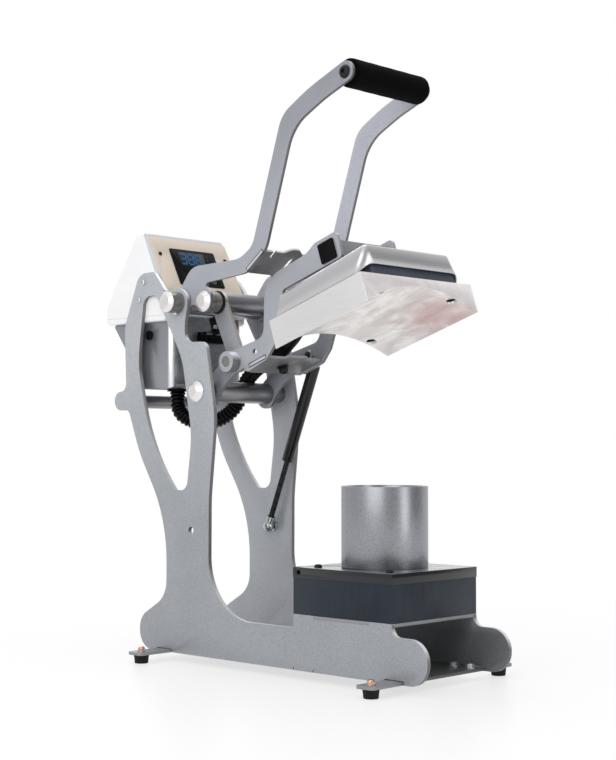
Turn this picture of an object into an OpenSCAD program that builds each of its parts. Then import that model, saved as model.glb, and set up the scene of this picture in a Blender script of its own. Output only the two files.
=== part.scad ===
// Bench-top clamshell heat press for balls: a concave heated platen on a toggle arm
// swings down onto a ball that rests on a pipe pedestal. Millimetres, +Z up, +Y to the back.
// The origin is on the floor, in the middle of the stand.

/* [Stand] */
// Width across the outer faces of the two side plates
stand_w = 171; // [168:1:174]
// Thickness of the side plates
plate_t = 6; // [5:0.5:7]
// Height of the rubber feet
foot_h = 12; // [10:1:14]
// Distance of each foot from the centre line
foot_x = 128; // [122:1:132]
// Thickness of the base pan and its ears
pan_t = 4; // [3:0.5:5]
// Height of the deck's top face
deck_z = 85; // [83:1:88]
// Thickness of the deck plate
deck_t = 4.5; // [4:0.5:6]

/* [Pedestal] */
// Place of the pedestal's axis along the stand
pedestal_y = -172; // [-174:1:-170]
// Width of the square base block
block_w = 170; // [160:1:171]
// Height of the base block under its lid
block_h = 48; // [40:1:54]
// Thickness of the lid on the block
lid_h = 13.3; // [10:0.1:16]
// Outer diameter of the pedestal pipe
pipe_d = 114.3; // [100:0.1:120]
// Wall of the pedestal pipe
pipe_wall = 6; // [4:0.5:8]
// Height of the pedestal pipe
pipe_h = 106; // [90:1:110]

/* [Linkage] */
// Handle pivot, distance along the stand
handle_y = 144; // [143:0.5:145]
// Handle pivot, height
handle_z = 509; // [508:0.5:510]
// Arm pivot, distance along the stand
arm_y = 104.3; // [103.5:0.1:105]
// Arm pivot, height
arm_z = 381.5; // [381:0.1:382]
// Link pin on the closed arm, distance along the stand
pin_y = 46.2; // [46:0.1:47]
// Link pin on the closed arm, height
pin_z = 405; // [404.5:0.1:405.5]
// Distance from the handle pivot to the toggle shaft
crank_len = 47; // [46:0.5:48]
// Angle by which the open arm stands above the closed one
open_angle = 18.3; // [17:0.1:19]

/* [Shafts] */
// Diameter of the bearing journals
journal_d = 20; // [18:0.5:21]
// Diameter of the handle shaft and arm tube between the plates
tube_d = 30; // [28:0.5:32]
// Diameter of the toggle shaft, the collars and the end caps
cap_d = 30; // [29:0.5:31]
// Height of the end caps on the handle shaft
cap_h = 5.6; // [5:0.1:6]
// Length of the collars outside the side plates
collar_l = 20.5; // [18:0.5:24]
// Radial play of a turning joint
play = 0.05; // [0.02:0.01:0.1]

/* [Handle] */
// Grip axis, distance along the stand
grip_y = -173.4; // [-173.8:0.2:-173]
// Grip axis, height
grip_z = 789.6; // [789.2:0.2:790]
// Outer diameter of the foam grip
grip_d = 38.4; // [34:0.2:40]
// Diameter of the rod inside the grip
grip_rod_d = 22; // [20:1:24]

/* [Platen] */
// Width of the heated platen
platen_w = 224; // [216:1:228]
// Depth of the heated platen
platen_l = 170; // [164:1:172]
// Thickness of the heated platen
platen_h = 40; // [38:1:42]
// Underside of the closed platen above the floor
platen_z = 371; // [369:1:373]
// Depth of the hollow in the platen's face
hollow_depth = 28; // [24:0.5:30]

/* [Gas spring] */
// Lower ball, distance along the stand
gas_low_y = 114.5; // [113:0.5:116]
// Lower ball, height
gas_low_z = 186; // [184:0.5:188]
// Upper ball with the arm open, distance along the stand
gas_top_y = 14.2; // [13:0.2:15]
// Upper ball with the arm open, height
gas_top_z = 435; // [434:0.5:436]
// Diameter of the cylinder
gas_d = 17; // [15:0.5:17]
// Diameter of the rod
gas_rod_d = 8; // [7:0.5:9]

/* [Console] */
// Slope of the front panel above the level
panel_tilt = 63.6; // [62:0.1:65]
// Length of the front panel up its slope
panel_l = 92; // [88:1:94]
// Half width of the power box
box_half = 72; // [68:0.5:72]

/* [Hose] */
// Outer diameter of the ribbed hose
hose_d = 23; // [20:0.5:24]
// Bore of the ribbed hose
hose_bore = 16; // [12:0.5:16]
// Number of ribs
hose_ribs = 70; // [50:2:80]

/* [Hidden] */
$fn = 48;

// Layers across the width, from the middle outwards
outer_x = stand_w / 2;
inner_x = outer_x - plate_t;
handle_x = inner_x - 6;
handle_t = 5;
arm_x = 53.5;
arm_t = 5;
link_x = 45;
link_t = 6;
gas_x = 68;

// Pivots as [distance along the stand, height]
A = [handle_y, handle_z];
D = [arm_y, arm_z];
C_closed = [pin_y, pin_z];
C_open = turned(C_closed, D, -open_angle);
link_len = norm(A - C_closed) - crank_len;
B_open = crossing(A, crank_len, C_open, link_len);
B_closed = A + crank_len * unit(C_closed - A);
handle_travel = angle_of(B_closed - A) - angle_of(B_open - A);
G_low = [gas_low_y, gas_low_z];
G_top = [gas_top_y, gas_top_z];
gas_len = norm(G_top - G_low);
gas_lean = atan2(G_low[0] - G_top[0], G_top[1] - G_low[1]);
grip = [grip_y, grip_z];

// Heights of the pedestal's pieces
pan_z = foot_h;
lid_z = deck_z + block_h;
pipe_z = lid_z + lid_h;

// Console
panel_low = [179, 530.5];
panel_t = 2.5;
overlay_t = 0.8;
key_d = 11;
key_x = [-24, 0, 24];
key_up = 22;

// Plane geometry
function unit(v) = v / norm(v);
function side(v) = [-v[1], v[0]];
function angle_of(v) = (atan2(v[1], v[0]) + 360) % 360;
function rot2(v, a) = [v[0] * cos(a) - v[1] * sin(a), v[0] * sin(a) + v[1] * cos(a)];
function turned(p, about, a) = about + rot2(p - about, a);
function flat(p) = [p[0], p[1]];
// Meeting point of two circles, on the far side from the arm
function crossing(p, rp, q, rq) =
    let (d = norm(q - p), u = unit(q - p), along = (d * d + rp * rp - rq * rq) / (2 * d))
    p + along * u - sqrt(rp * rp - along * along) * side(u);

// Closed outline whose corners [y, z, r] are rounded by arcs
function rounded(c) = [
    for (i = [0 : len(c) - 1])
        each corner(c[(i + len(c) - 1) % len(c)], c[i], c[(i + 1) % len(c)])
];
function corner(a, p, b) = p[2] == 0 ? [flat(p)] : arc_corner(flat(a), flat(p), flat(b), p[2]);
function arc_corner(a, p, b, r) =
    let (
        u = unit(a - p),
        v = unit(b - p),
        half = acos(u * v) / 2,
        mid = p + unit(u + v) * r / sin(half),
        from = p + u * r / tan(half) - mid,
        to = p + v * r / tan(half) - mid,
        turn = sign(from[0] * to[1] - from[1] * to[0]) * (180 - 2 * half),
        steps = max(2, ceil(abs(turn) / (r > 60 ? 4 : 10)))
    )
    [for (k = [0 : steps]) mid + rot2(from, turn * k / steps)];

// Upright slab between two planes across the width, from an outline in [y, z]
module slab(x0, x1) {
    rotate([90, 0, 90]) translate([0, 0, x0]) linear_extrude(x1 - x0) children();
}
module at(p, x = 0) {
    translate([x, p[0], p[1]]) children();
}
// Round bar across the width
module bar(p, r, x0, x1) {
    at(p, x0) rotate([0, 90, 0]) cylinder(r = r, h = x1 - x0);
}
module mirrored() {
    children();
    mirror([1, 0, 0]) children();
}
// Arm pieces are drawn closed and lifted to the open rest pose
module lifted() {
    at(D) rotate([-open_angle, 0, 0]) translate([0, -D[0], -D[1]]) children();
}
// Bevelled cap with a flat nose, standing on a face that looks along +X
module cap(p, x, h, nose) {
    at(p, x) rotate([0, 90, 0]) rotate_extrude() polygon([
        [0, 0], [cap_d / 2, 0], [cap_d / 2, 1.1], [nose, h], [0, h]
    ]);
}
// Button-head screw on a face that looks along +Z, with its hexagon socket
module button_screw(d, shank, wide = 1.8) {
    head = 0.55 * d;
    difference() {
        union() {
            cylinder(d1 = wide * d, d2 = (wide - 0.7) * d, h = head);
            translate([0, 0, -shank]) cylinder(d = d, h = shank);
        }
        translate([0, 0, head * 0.4]) cylinder(d = 0.7 * d, h = head, $fn = 6);
    }
}
module hex_nut(d, h) {
    cylinder(d = d, h = h, $fn = 6);
}

// Stand

front_y = -314;
rear_y = 224.5;
lobe_r = 28.5;
block_front = pedestal_y - block_w / 2;
block_rear = pedestal_y + block_w / 2;

plate_outline = [
    [front_y, pan_z, lobe_r - 0.5], [front_y, pan_z + 2 * lobe_r, lobe_r - 0.5],
    [block_front, pan_z + 2 * lobe_r, 13], [block_front, deck_z, 0],
    [block_rear, deck_z, 0], [block_rear, 67, 3], [78, 67, 84],
    [77.5, 232, 200], [65.5, 345, 170], [85, 451, 13], [129, 452, 14], [129, 481, 40],
    [124, 503, 40], [123.5, 531, 20], [171, 528, 12], [196, 557.5, 9], [230, 557.5, 22],
    [262.5, 480, 40], [258.3, 385, 12],
    [285, 385, 13.8], [285, 357.2, 13.8], [252.5, 357.2, 9], [227.2, 294, 200],
    [166.5, 199.5, 205], [166.5, 91, 38], [rear_y, 57, lobe_r - 2], [rear_y, pan_z, lobe_r - 2]
];
window_outline = [
    [124, 242, 14], [113.5, 320, 150], [134, 428, 110], [191, 523, 14], [219, 523, 15],
    [232, 424, 130], [201, 301, 280], [149, 242, 10]
];
ears_y = [-260.5, 170];
ear_half = 14.5;
ear_round = 6.5;
pan_tab = [-122.8, -88.2];
slit = 1.2;
slot_gap = 0.7;
tab_half = 48;
console_bolts_at = [[220, 543.5], [229, 518]];

module side_plate() {
    slab(inner_x, outer_x) difference() {
        polygon(rounded(plate_outline));
        polygon(rounded(window_outline));
        for (p = [A, D])
            translate(p) circle(d = journal_d + 2 * play);
        for (p = console_bolts_at)
            translate(p) circle(d = 4.8);
        translate(G_low) circle(d = 10.4);
        for (y = ears_y)
            translate([y - ear_half - slit, pan_z - 1]) square([2 * (ear_half + slit), pan_t + 2]);
        translate([pan_tab[0] - slit, pan_z - 1])
            square([pan_tab[1] - pan_tab[0] + 2 * slit, pan_t + 1]);
        translate([pedestal_y - tab_half, deck_z - deck_t]) square([2 * tab_half, deck_t + 1]);
    }
}

module side_plate_left() {
    color("#a5a6ac") mirror([1, 0, 0]) side_plate();
}

module side_plate_right() {
    color("#a5a6ac") side_plate();
}

module base_pan() {
    color("#8f9094") translate([0, 0, pan_z]) difference() {
        linear_extrude(pan_t) union() {
            translate([-inner_x, -272]) square([2 * inner_x, 470]);
            translate([-outer_x, pan_tab[0]]) square([stand_w, pan_tab[1] - pan_tab[0]]);
            mirrored() for (y = ears_y)
                polygon(rounded([
                    [inner_x - 1, y - ear_half, 0], [foot_x + ear_half, y - ear_half, ear_round],
                    [foot_x + ear_half, y + ear_half, ear_round], [inner_x - 1, y + ear_half, 0]
                ]));
        }
        mirrored() for (y = ears_y)
            translate([foot_x, y, -1]) cylinder(d = 6.2, h = pan_t + 2);
    }
}

module deck_plate() {
    color("#8f9094") translate([0, 0, deck_z - deck_t]) difference() {
        linear_extrude(deck_t) union() {
            translate([-inner_x, block_front]) square([2 * inner_x, block_w]);
            translate([-outer_x, pedestal_y - tab_half]) square([stand_w, 2 * tab_half]);
        }
        translate([0, pedestal_y, -1]) cylinder(d = 13, h = deck_t + 2);
    }
}

module rubber_feet() {
    color("#1c1c1e") mirrored() for (y = ears_y)
        translate([foot_x, y, 0]) difference() {
            cylinder(d1 = 19, d2 = 22, h = foot_h);
            translate([0, 0, 3]) cylinder(d = 6, h = foot_h);
        }
}

pan_bolt_y = [-262, -236, 120];
module base_bolts() {
    color("#b08d6a") mirrored() {
        for (y = ears_y)
            translate([foot_x, y, pan_z + pan_t]) {
                cylinder(d = 11, h = 3.5);
                translate([0, 0, 3.5]) cylinder(d1 = 9, d2 = 5, h = 3.5);
                translate([0, 0, -pan_t - 6]) cylinder(d = 6, h = pan_t + 6);
            }
        for (y = pan_bolt_y)
            translate([66, y, pan_z + pan_t]) {
                cylinder(d = 14, h = 1.2);
                translate([0, 0, 1.2]) hex_nut(11.5, 5);
            }
    }
}

// Pedestal

lid_screw_at = 62;
lid_w = block_w + 1.2;
module base_block() {
    wall = 8;
    inner = block_w - 2 * wall;
    color("#3a424d") translate([0, pedestal_y, deck_z]) difference() {
        translate([-block_w / 2, -block_w / 2, 0]) cube([block_w, block_w, block_h]);
        difference() {
            translate([-inner / 2, -inner / 2, -1]) cube([inner, inner, block_h - wall + 1]);
            for (x = [-1, 1])
                for (y = [-1, 1])
                    translate([x * inner / 2, y * inner / 2, -2]) cylinder(r = 28, h = block_h + 4);
        }
        translate([0, 0, -1]) cylinder(d = 13, h = block_h + 2);
        lid_hole_pattern() translate([0, 0, block_h - 20]) cylinder(d = 6, h = 21);
    }
}

module lid_hole_pattern() {
    for (y = [-lid_screw_at, lid_screw_at])
        translate([-lid_screw_at, y, 0]) children();
}

module block_lid() {
    color("#3e4144") translate([0, pedestal_y, lid_z]) difference() {
        translate([-lid_w / 2, -lid_w / 2, 0]) cube([lid_w, lid_w, lid_h]);
        translate([0, 0, -1]) cylinder(d = 13, h = lid_h + 2);
        lid_hole_pattern() translate([0, 0, -1]) cylinder(d = 6, h = lid_h + 2);
        translate([-lid_w / 2 - 1, 75, lid_h / 2]) rotate([0, 90, 0]) cylinder(d = 6.6, h = 12);
    }
}

module lid_screws() {
    color("#202022") translate([0, pedestal_y, pipe_z]) lid_hole_pattern() button_screw(5.9, 28);
}

module pedestal_tube() {
    color("#96989d") translate([0, pedestal_y, pipe_z]) difference() {
        cylinder(d = pipe_d, h = pipe_h, $fn = 96);
        translate([0, 0, 8]) cylinder(d = pipe_d - 2 * pipe_wall, h = pipe_h, $fn = 96);
        translate([0, 0, -1]) cylinder(d = 13, h = 10);
    }
}

module pedestal_bolt() {
    under = deck_z - deck_t;
    over = pipe_z + 8;
    color("#9a9ca0") translate([0, pedestal_y, 0]) {
        translate([0, 0, under - 12]) cylinder(d = 12.5, h = over - under + 24);
        translate([0, 0, under - 14]) hex_nut(22, 14);
        translate([0, 0, over]) cylinder(d = 26, h = 2);
        translate([0, 0, over + 2]) hex_nut(22, 10);
    }
}

// Shafts of the stand

module handle_shaft() {
    end = outer_x + collar_l;
    color("#5c5d60") {
        bar(A, tube_d / 2, -handle_x + 0.4, handle_x - 0.4);
        bar(A, journal_d / 2, -end, end);
    }
}

module shaft_collars() {
    color("#8b8a86") mirrored() difference() {
        bar(A, cap_d / 2, outer_x, outer_x + collar_l);
        bar(A, journal_d / 2, outer_x - 1, outer_x + collar_l + 1);
        at(A, outer_x + 4.5) translate([0, 0, -cap_d]) cylinder(d = 6, h = cap_d);
    }
}

module collar_screws() {
    color("#2a2a2c") mirrored() at(A, outer_x + 4.5) translate([0, 0, -cap_d / 2 - 2.5])
        cylinder(d = 6, h = cap_d / 2 - journal_d / 2 + 2.5);
}

module shaft_caps() {
    color("#d8d8da") mirrored() {
        cap(A, outer_x + collar_l, cap_h, 10);
        cap(D, outer_x, cap_h + 2, 8);
    }
}

module arm_shaft() {
    color("#55565a") {
        bar(D, journal_d / 2, -outer_x, outer_x);
        mirrored() bar(D, 13, arm_x + arm_t + 0.4, inner_x);
    }
}

cross_bar = [271, 371];
module rear_cross_bar() {
    color("#6b6c70") bar(cross_bar, 10, -inner_x, inner_x);
}

// Power box and console

console_z = 486;
box_rear = 270;
box_front = 173;
box_outline = [
    [box_front, 389, 7], [box_front, console_z + 8, 1.2], [box_front + 3.6, console_z + 8, 0.8],
    [box_front + 3.6, console_z, 0], [305, console_z, 3],
    [box_rear, 440, 24], [box_rear, 389, 12]
];
box_room = [
    [box_front + 2, 391, 5], [box_front + 2, console_z - 2, 2], [300, console_z - 2, 2],
    [box_rear - 2, 441, 22], [box_rear - 2, 391, 10]
];
gland_x = -33;
gland_y = 203;
plug_at = [221, 467];
inlet_z = 414;
inlet_half = [24, 14];

module box_plan(half, front, r) {
    translate([0, 0, 380]) linear_extrude(120) polygon(rounded([
        [-half, front, r], [half, front, r], [half, 320, 0], [-half, 320, 0]
    ]));
}

module power_box() {
    color("#7d8187") difference() {
        intersection() {
            slab(-box_half, box_half) polygon(rounded(box_outline));
            box_plan(box_half, box_front, 14);
        }
        intersection() {
            slab(-box_half, box_half) polygon(rounded(box_room));
            box_plan(box_half - 2, box_front + 2, 12);
        }
        translate([gland_x, gland_y, 380]) cylinder(d = 20, h = 20);
        bar(plug_at, 5, -box_half - 1, -box_half + 5);
        translate([-inlet_half[0] + 1, box_rear - 5, inlet_z - inlet_half[1] + 1])
            cube([2 * inlet_half[0] - 2, 10, 2 * inlet_half[1] - 2]);
    }
}

gland_h = 14;
module box_fittings() {
    color("#161617") {
        translate([gland_x, gland_y, 389]) difference() {
            union() {
                translate([0, 0, -4]) hex_nut(33, 4);
                translate([0, 0, -1]) cylinder(d = 19.8, h = gland_h);
                translate([0, 0, 2]) cylinder(d = 28, h = 4);
            }
            translate([0, 0, -5]) cylinder(d = hose_bore, h = gland_h + 10);
        }
        bar(plug_at, 7, -box_half - 2.5, -box_half);
        bar(plug_at, 4.8, -box_half, -box_half + 5);
    }
}

switch_x = [-22, 28];
switch_z = 456;
switch_h = 12;
switch_d = 13;
lever_t = 1;
module limit_switch() {
    color("#18181a") translate([switch_x[0], box_front - switch_d, switch_z]) difference() {
        union() {
            cube([switch_x[1] - switch_x[0], switch_d, switch_h]);
            for (y = [0, switch_d - 1.5])
                translate([1.5, y, 0]) cube([5, 1.5, switch_h + 4]);
        }
        for (x = [10, 40])
            translate([x, -1, switch_h / 2]) rotate([-90, 0, 0]) cylinder(d = 4, h = 6);
    }
}

lever_hinge = [switch_x[0] + 4, switch_z + switch_h + 2.4];
module switch_lever() {
    color("#c9cacd") translate([lever_hinge[0], box_front - switch_d / 2, lever_hinge[1]]) {
        rotate([90, 0, 0]) cylinder(d = 2.4, h = 9, center = true);
        translate([0, -3.5, 0.2]) rotate([0, -4, 0]) cube([34, 7, lever_t]);
        translate([34, 0, 4.5]) rotate([90, 0, 0]) cylinder(d = 8, h = 6, center = true);
    }
}

console_outline = [
    [178, 486, 3], [174.5, 516, 12], [panel_low[0] + 2.4, panel_low[1] - 1.2, 0],
    [222.2, 611.5, 0], [225.5, 619, 6], [249, 618, 10], [314, 510, 22], [314, console_z, 5]
];
console_room = [
    [182, 490, 2], [179, 515, 8], [184.8, 528, 0], [225, 609, 2], [245, 611, 8],
    [309, 508, 16], [309, 490, 4]
];
console_half = inner_x;
console_top_half = 75.5;

module console_taper(shrink) {
    // Front view of the console, a little narrower at the top
    low = console_half - shrink;
    top = console_top_half - shrink;
    rotate([90, 0, 0]) translate([0, 0, -330]) linear_extrude(200) polygon(rounded([
        [-low, 480, 0], [low, 480, 0], [low, 540, 40], [top, 625, 0], [-top, 625, 0], [-low, 540, 40]
    ]));
}

module on_panel(x = 0, up = 0, out = 0) {
    at(panel_low) rotate([panel_tilt, 0, 0]) translate([x, up, out]) children();
}

module console_shell() {
    color("#dcdcdd") difference() {
        intersection() {
            slab(-console_half, console_half) polygon(rounded(console_outline));
            console_taper(0);
        }
        intersection() {
            slab(-console_half + 3, console_half - 3) polygon(rounded(console_room));
            console_taper(3);
        }
        on_panel(0, panel_l / 2, -10) cube([110, 74, 40], center = true);
        mirrored() for (p = console_bolts_at)
            bar(p, 2.4, console_half - 10, console_half + 1);
        for (x = [-65, 65])
            on_panel(x, 63, -14) cylinder(d = 3.6, h = 14);
    }
}

panel_low_half = 78.5;
panel_top_half = 75;
module console_panel() {
    color("#cdc1b2") on_panel(0, 0, -panel_t) difference() {
        linear_extrude(panel_t) polygon(rounded([
            [-panel_low_half, 0.5, 2], [panel_low_half, 0.5, 2],
            [panel_top_half, panel_l, 3], [-panel_top_half, panel_l, 3]
        ]));
        translate([-32, 42, -1]) cube([64, 26, panel_t + 2]);
        for (x = [-65, 65])
            translate([x, 63, -1]) cylinder(d = 4, h = panel_t + 2);
        for (x = key_x)
            translate([x, key_up, -1]) cylinder(d = key_d + 0.8, h = panel_t + 2);
    }
}

overlay_half = 44.5;
overlay_up = [12, 74.5];
module display_overlay() {
    color("#0c0c0e") on_panel() difference() {
        linear_extrude(overlay_t) polygon(rounded([
            [-overlay_half, overlay_up[0], 3], [overlay_half, overlay_up[0], 3],
            [overlay_half, overlay_up[1], 3], [-overlay_half, overlay_up[1], 3]
        ]));
        for (x = key_x)
            translate([x, key_up, -1]) cylinder(d = key_d + 0.8, h = overlay_t + 2);
    }
}

board_out = -12;
module control_board() {
    color("#2f6f4a") on_panel() {
        translate([-50, 10, board_out]) cube([100, 64, 1.6]);
        translate([-30, 44, board_out + 1.6]) cube([60, 22, 9.2]);
        for (x = [-46, 46])
            for (y = [14, 70])
                translate([x, y, board_out + 1.6]) cylinder(d = 6, h = -board_out - panel_t - 1.6);
    }
}

module panel_screws() {
    color("#161618") for (x = [-65, 65])
        on_panel(x, 63) button_screw(3.5, 10);
}

module console_bolts() {
    color("#c4c5c8") mirrored() for (p = console_bolts_at)
        at(p, outer_x) rotate([0, 90, 0]) button_screw(4.6, 12);
}

module key(x) {
    color("#3a3a3e") on_panel(x, key_up, -panel_t + 1.2) {
        cylinder(d = key_d, h = panel_t + 0.4);
        translate([0, 0, panel_t + 0.4]) cylinder(d1 = key_d, d2 = key_d - 2, h = 0.6);
    }
}

module key_left() {
    key(key_x[0]);
}

module key_middle() {
    key(key_x[1]);
}

module key_right() {
    key(key_x[2]);
}

rocker_x = 14;
rocker_half = [7, 9.5];
module power_inlet() {
    color("#1b1b1d") translate([0, box_rear, inlet_z]) difference() {
        union() {
            translate([-inlet_half[0] - 3, 0, -inlet_half[1] - 3])
                cube([2 * inlet_half[0] + 6, 3, 2 * inlet_half[1] + 6]);
            translate([-inlet_half[0] + 1.2, -22, -inlet_half[1] + 1.2])
                cube([2 * inlet_half[0] - 2.4, 22, 2 * inlet_half[1] - 2.4]);
        }
        translate([-21, -15, -10]) cube([24, 20, 20]);
        translate([rocker_x - rocker_half[0] - 0.5, -12, -rocker_half[1] - 0.5])
            cube([2 * rocker_half[0] + 1, 20, 2 * rocker_half[1] + 1]);
    }
    color("#c8b070") for (x = [-14, -9, -4])
        translate([x - 1, box_rear - 16, inlet_z - (x == -9 ? -1 : 4)]) cube([2, 13, 5]);
}

module power_rocker() {
    // Two-sided rocker that tips about its middle
    color("#b3312a") translate([rocker_x, box_rear, inlet_z])
        slab(-rocker_half[0], rocker_half[0]) polygon([
            [-6, -6], [1, -rocker_half[1] + 0.6], [4.2, -rocker_half[1] + 0.9], [1.8, 0],
            [3, rocker_half[1] - 0.9], [0, rocker_half[1] - 0.6], [-6, 6]
        ]);
    reach = rocker_half[0] + 0.35;
    color("#b3312a") bar([box_rear - 3, inlet_z], 2, rocker_x - reach, rocker_x + reach);
}

// Handle

handle_outline = [
    [-190.9, 782, 13.2], [-180.9, 808, 13.2], [-105.4, 777.6, 250], [-57.5, 750.3, 42],
    [-1.4, 578, 30], [24.6, 562.5, 40], [122.6, 559.5, 30], [160.5, 512, 14], [160.5, 491.5, 15],
    [136, 491.5, 8], [120, 508, 8], [104, 494.3, 9], [82.5, 494.3, 13], [82.5, 524, 12.5], [95, 529.8, 3],
    [89.4, 534.8, 4], [8.4, 542.3, 40], [-26.6, 569.6, 45], [-78, 731.6, 65],
    [-134.2, 760.2, 200]
];

module handle_plate() {
    slab(handle_x, handle_x + handle_t) difference() {
        polygon(rounded(handle_outline));
        translate(A) circle(d = journal_d + 2 * play);
        translate(B_open) circle(d = journal_d);
        translate(grip) circle(d = 8.4);
        at_brace() translate([-slot_gap, -brace_t / 2])
            square([brace_l + 2 * slot_gap, brace_t + slot_gap]);
    }
}

module handle_plate_left() {
    color("#a5a6ac") mirror([1, 0, 0]) handle_plate();
}

module handle_plate_right() {
    color("#a5a6ac") handle_plate();
}

// Brace between the handle plates: a waved plate whose ends sit in slots at the lower bend
brace_low = [8.4, 547];
brace_rise = 142.6;
brace_l = 37.7;
brace_t = 4;
arm_slot = 28;
module at_brace() {
    translate(brace_low) rotate(brace_rise) children();
}

brace_half = [
    [-3, -4.5, 0], [2, -4.5, 6], [9, -12, 9], [21, -12, 9], [31, -4.5, 9],
    [handle_x, -4.5, 0], [handle_x, 0, 0], [handle_x + handle_t, 0, 0],
    [handle_x + handle_t, brace_l, 0], [handle_x, brace_l, 0],
    [handle_x, 39.5, 0], [39, 39.5, 11], [28, 48, 10], [14, 48, 10], [3, 39.5, 9], [-3, 39.5, 0]
];
module handle_brace() {
    color("#8c8d92") at(brace_low) rotate([brace_rise, 0, 0]) translate([0, 0, -brace_t / 2])
        difference() {
            mirrored() linear_extrude(brace_t) polygon(rounded(brace_half));
            mirrored() translate([15, 12, -1]) linear_extrude(brace_t + 2) {
                circle(d = 9);
                translate([0, 14]) circle(d = 9);
                translate([-4.5, 0]) square([9, 14]);
            }
            mirrored() translate([arm_x - 1, arm_slot, -1]) cube([arm_t + 2, brace_l, brace_t + 2]);
        }
}

module grip_rod() {
    color("#77787c") difference() {
        bar(grip, grip_rod_d / 2, -handle_x, handle_x);
        mirrored() bar(grip, 4, handle_x - 22, handle_x + 1);
    }
}

module grip_foam() {
    foam = handle_x - 0.4;
    soft = 3;
    color("#0e0e0f") at(grip) rotate([0, 90, 0]) rotate_extrude() polygon(rounded([
        [grip_rod_d / 2, -foam, 0], [grip_d / 2, -foam, soft],
        [grip_d / 2, foam, soft], [grip_rod_d / 2, foam, 0]
    ]));
}

module grip_bolts() {
    color("#35363a") mirrored() at(grip, handle_x + handle_t) rotate([0, 90, 0])
        button_screw(8, 24, 2.25);
}

module toggle_shaft() {
    end = handle_x + handle_t;
    color("#606164") {
        bar(B_open, cap_d / 2, -link_x + 0.4, link_x - 0.4);
        bar(B_open, journal_d / 2, -end, end);
    }
}

module toggle_caps() {
    color("#d8d8da") mirrored() cap(B_open, handle_x + handle_t, cap_h + 0.8, 9);
}

washer_t = 2;
module toggle_spacers() {
    from = link_x + link_t + 0.4 + washer_t;
    color("#77767a") mirrored() difference() {
        bar(B_open, cap_d / 2, from, handle_x);
        bar(B_open, journal_d / 2, from - 1, handle_x + 1);
    }
}

module toggle_washers() {
    from = link_x + link_t + 0.4;
    color("#101011") mirrored() difference() {
        bar(B_open, cap_d / 2 + 1.5, from, from + washer_t);
        bar(B_open, journal_d / 2, from - 1, from + washer_t + 1);
    }
}

// Toggle links

link_r = 14;
module link() {
    lean = angle_of(B_open - C_open);
    slab(link_x, link_x + link_t) difference() {
        union() {
            translate(B_open) circle(r = link_r + 1.5);
            translate(C_open) rotate(lean) polygon(rounded([
                [-link_r, -link_r, link_r - 0.2], [link_len, -link_r, 0],
                [link_len, link_r, 0], [-link_r, link_r, link_r - 0.2]
            ]));
        }
        translate(B_open) circle(d = journal_d + 2 * play);
    }
    bar(C_open, 9, link_x - 3, link_x + 1);
}

module link_left() {
    color("#a5a6ac") mirror([1, 0, 0]) link();
}

module link_right() {
    color("#a5a6ac") link();
}

// Arm that carries the platen, drawn closed

arm_outline = [
    [-191.5, 501, 6], [-150, 501, 10], [-131, 493.5, 14], [-47.5, 491.5, 42], [-20.5, 417, 16],
    [52, 421.5, 26], [78, 410, 40], [126, 391, 17], [126, 360, 18], [101, 361, 7],
    [74.9, 383.4, 100], [44, 389.4, 20], [30, 390.4, 2],
    [25, 382, 6], [-16, 385.5, 8], [-36, 399, 10], [-71, 444, 22], [-74, 464.5, 7], [-190.5, 464.5, 4]
];
boss_d = 29;
boss_l = 15;
tube_w = 25;
plug_w = 28;
tube_at = [-169.5, 481];
platform_from = [38, 389];
platform_lean = 179;
platform_l = 53;
platform_t = 4;
tab_from = 20;
tab_l = 34;
gas_top_closed = turned(G_top, D, open_angle);

module on_platform() {
    translate(platform_from) rotate(platform_lean) children();
}

module arm_plate() {
    lifted() difference() {
        union() {
            slab(arm_x, arm_x + arm_t) polygon(rounded(arm_outline));
            bar(C_closed, boss_d / 2, arm_x + arm_t, arm_x + arm_t + boss_l);
        }
        bar(D, journal_d / 2 + play, arm_x - 1, arm_x + arm_t + 1);
        bar(C_closed, 8, arm_x + arm_t + boss_l - 1, arm_x + arm_t + boss_l + 1);
        slab(arm_x - 1, arm_x + arm_t + 1) on_platform()
            translate([tab_from - slot_gap, -platform_t / 2 - slot_gap])
                square([tab_l + 2 * slot_gap, platform_t + slot_gap]);
        slab(arm_x - 1, arm_x + arm_t + 1) translate(tube_at - [tube_w, tube_w] / 2) square(tube_w);
        bar(gas_top_closed, 4, arm_x - 1, arm_x + arm_t + 1);
    }
}

module arm_plate_left() {
    color("#a5a6ac") mirror([1, 0, 0]) arm_plate();
}

module arm_plate_right() {
    color("#a5a6ac") arm_plate();
}

module platform() {
    color("#94959a") lifted() difference() {
        union() {
            slab(-arm_x, arm_x) on_platform()
                translate([0, -platform_t / 2]) square([platform_l, platform_t]);
            slab(-arm_x - arm_t, arm_x + arm_t) on_platform()
                translate([tab_from, -platform_t / 2]) square([tab_l, platform_t]);
            slab(-20, 20) on_platform()
                translate([0, -platform_t / 2]) square([platform_l + 6, platform_t]);
        }
        platform_hole(platform_t + 20, 8.4);
        mirrored() slab(link_x - 4, arm_x + 1) on_platform()
            translate([-1, -platform_t]) square([8, 2 * platform_t]);
    }
}

bolt_along = 27;
module platform_hole(h, d) {
    at(platform_from) rotate([platform_lean, 0, 0]) translate([0, bolt_along, 0])
        cylinder(d = d, h = h, center = true);
}

module pivot_tube() {
    color("#55565a") lifted() difference() {
        bar(D, tube_d / 2, -arm_x, arm_x);
        bar(D, journal_d / 2 + play, -arm_x - 1, arm_x + 1);
    }
}

module cross_tube() {
    reach = arm_x + arm_t;
    wall = 2;
    color("#8f9094") lifted() slab(-reach, reach) translate(tube_at) difference() {
        square(tube_w, center = true);
        square(tube_w - 2 * wall, center = true);
    }
}

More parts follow.
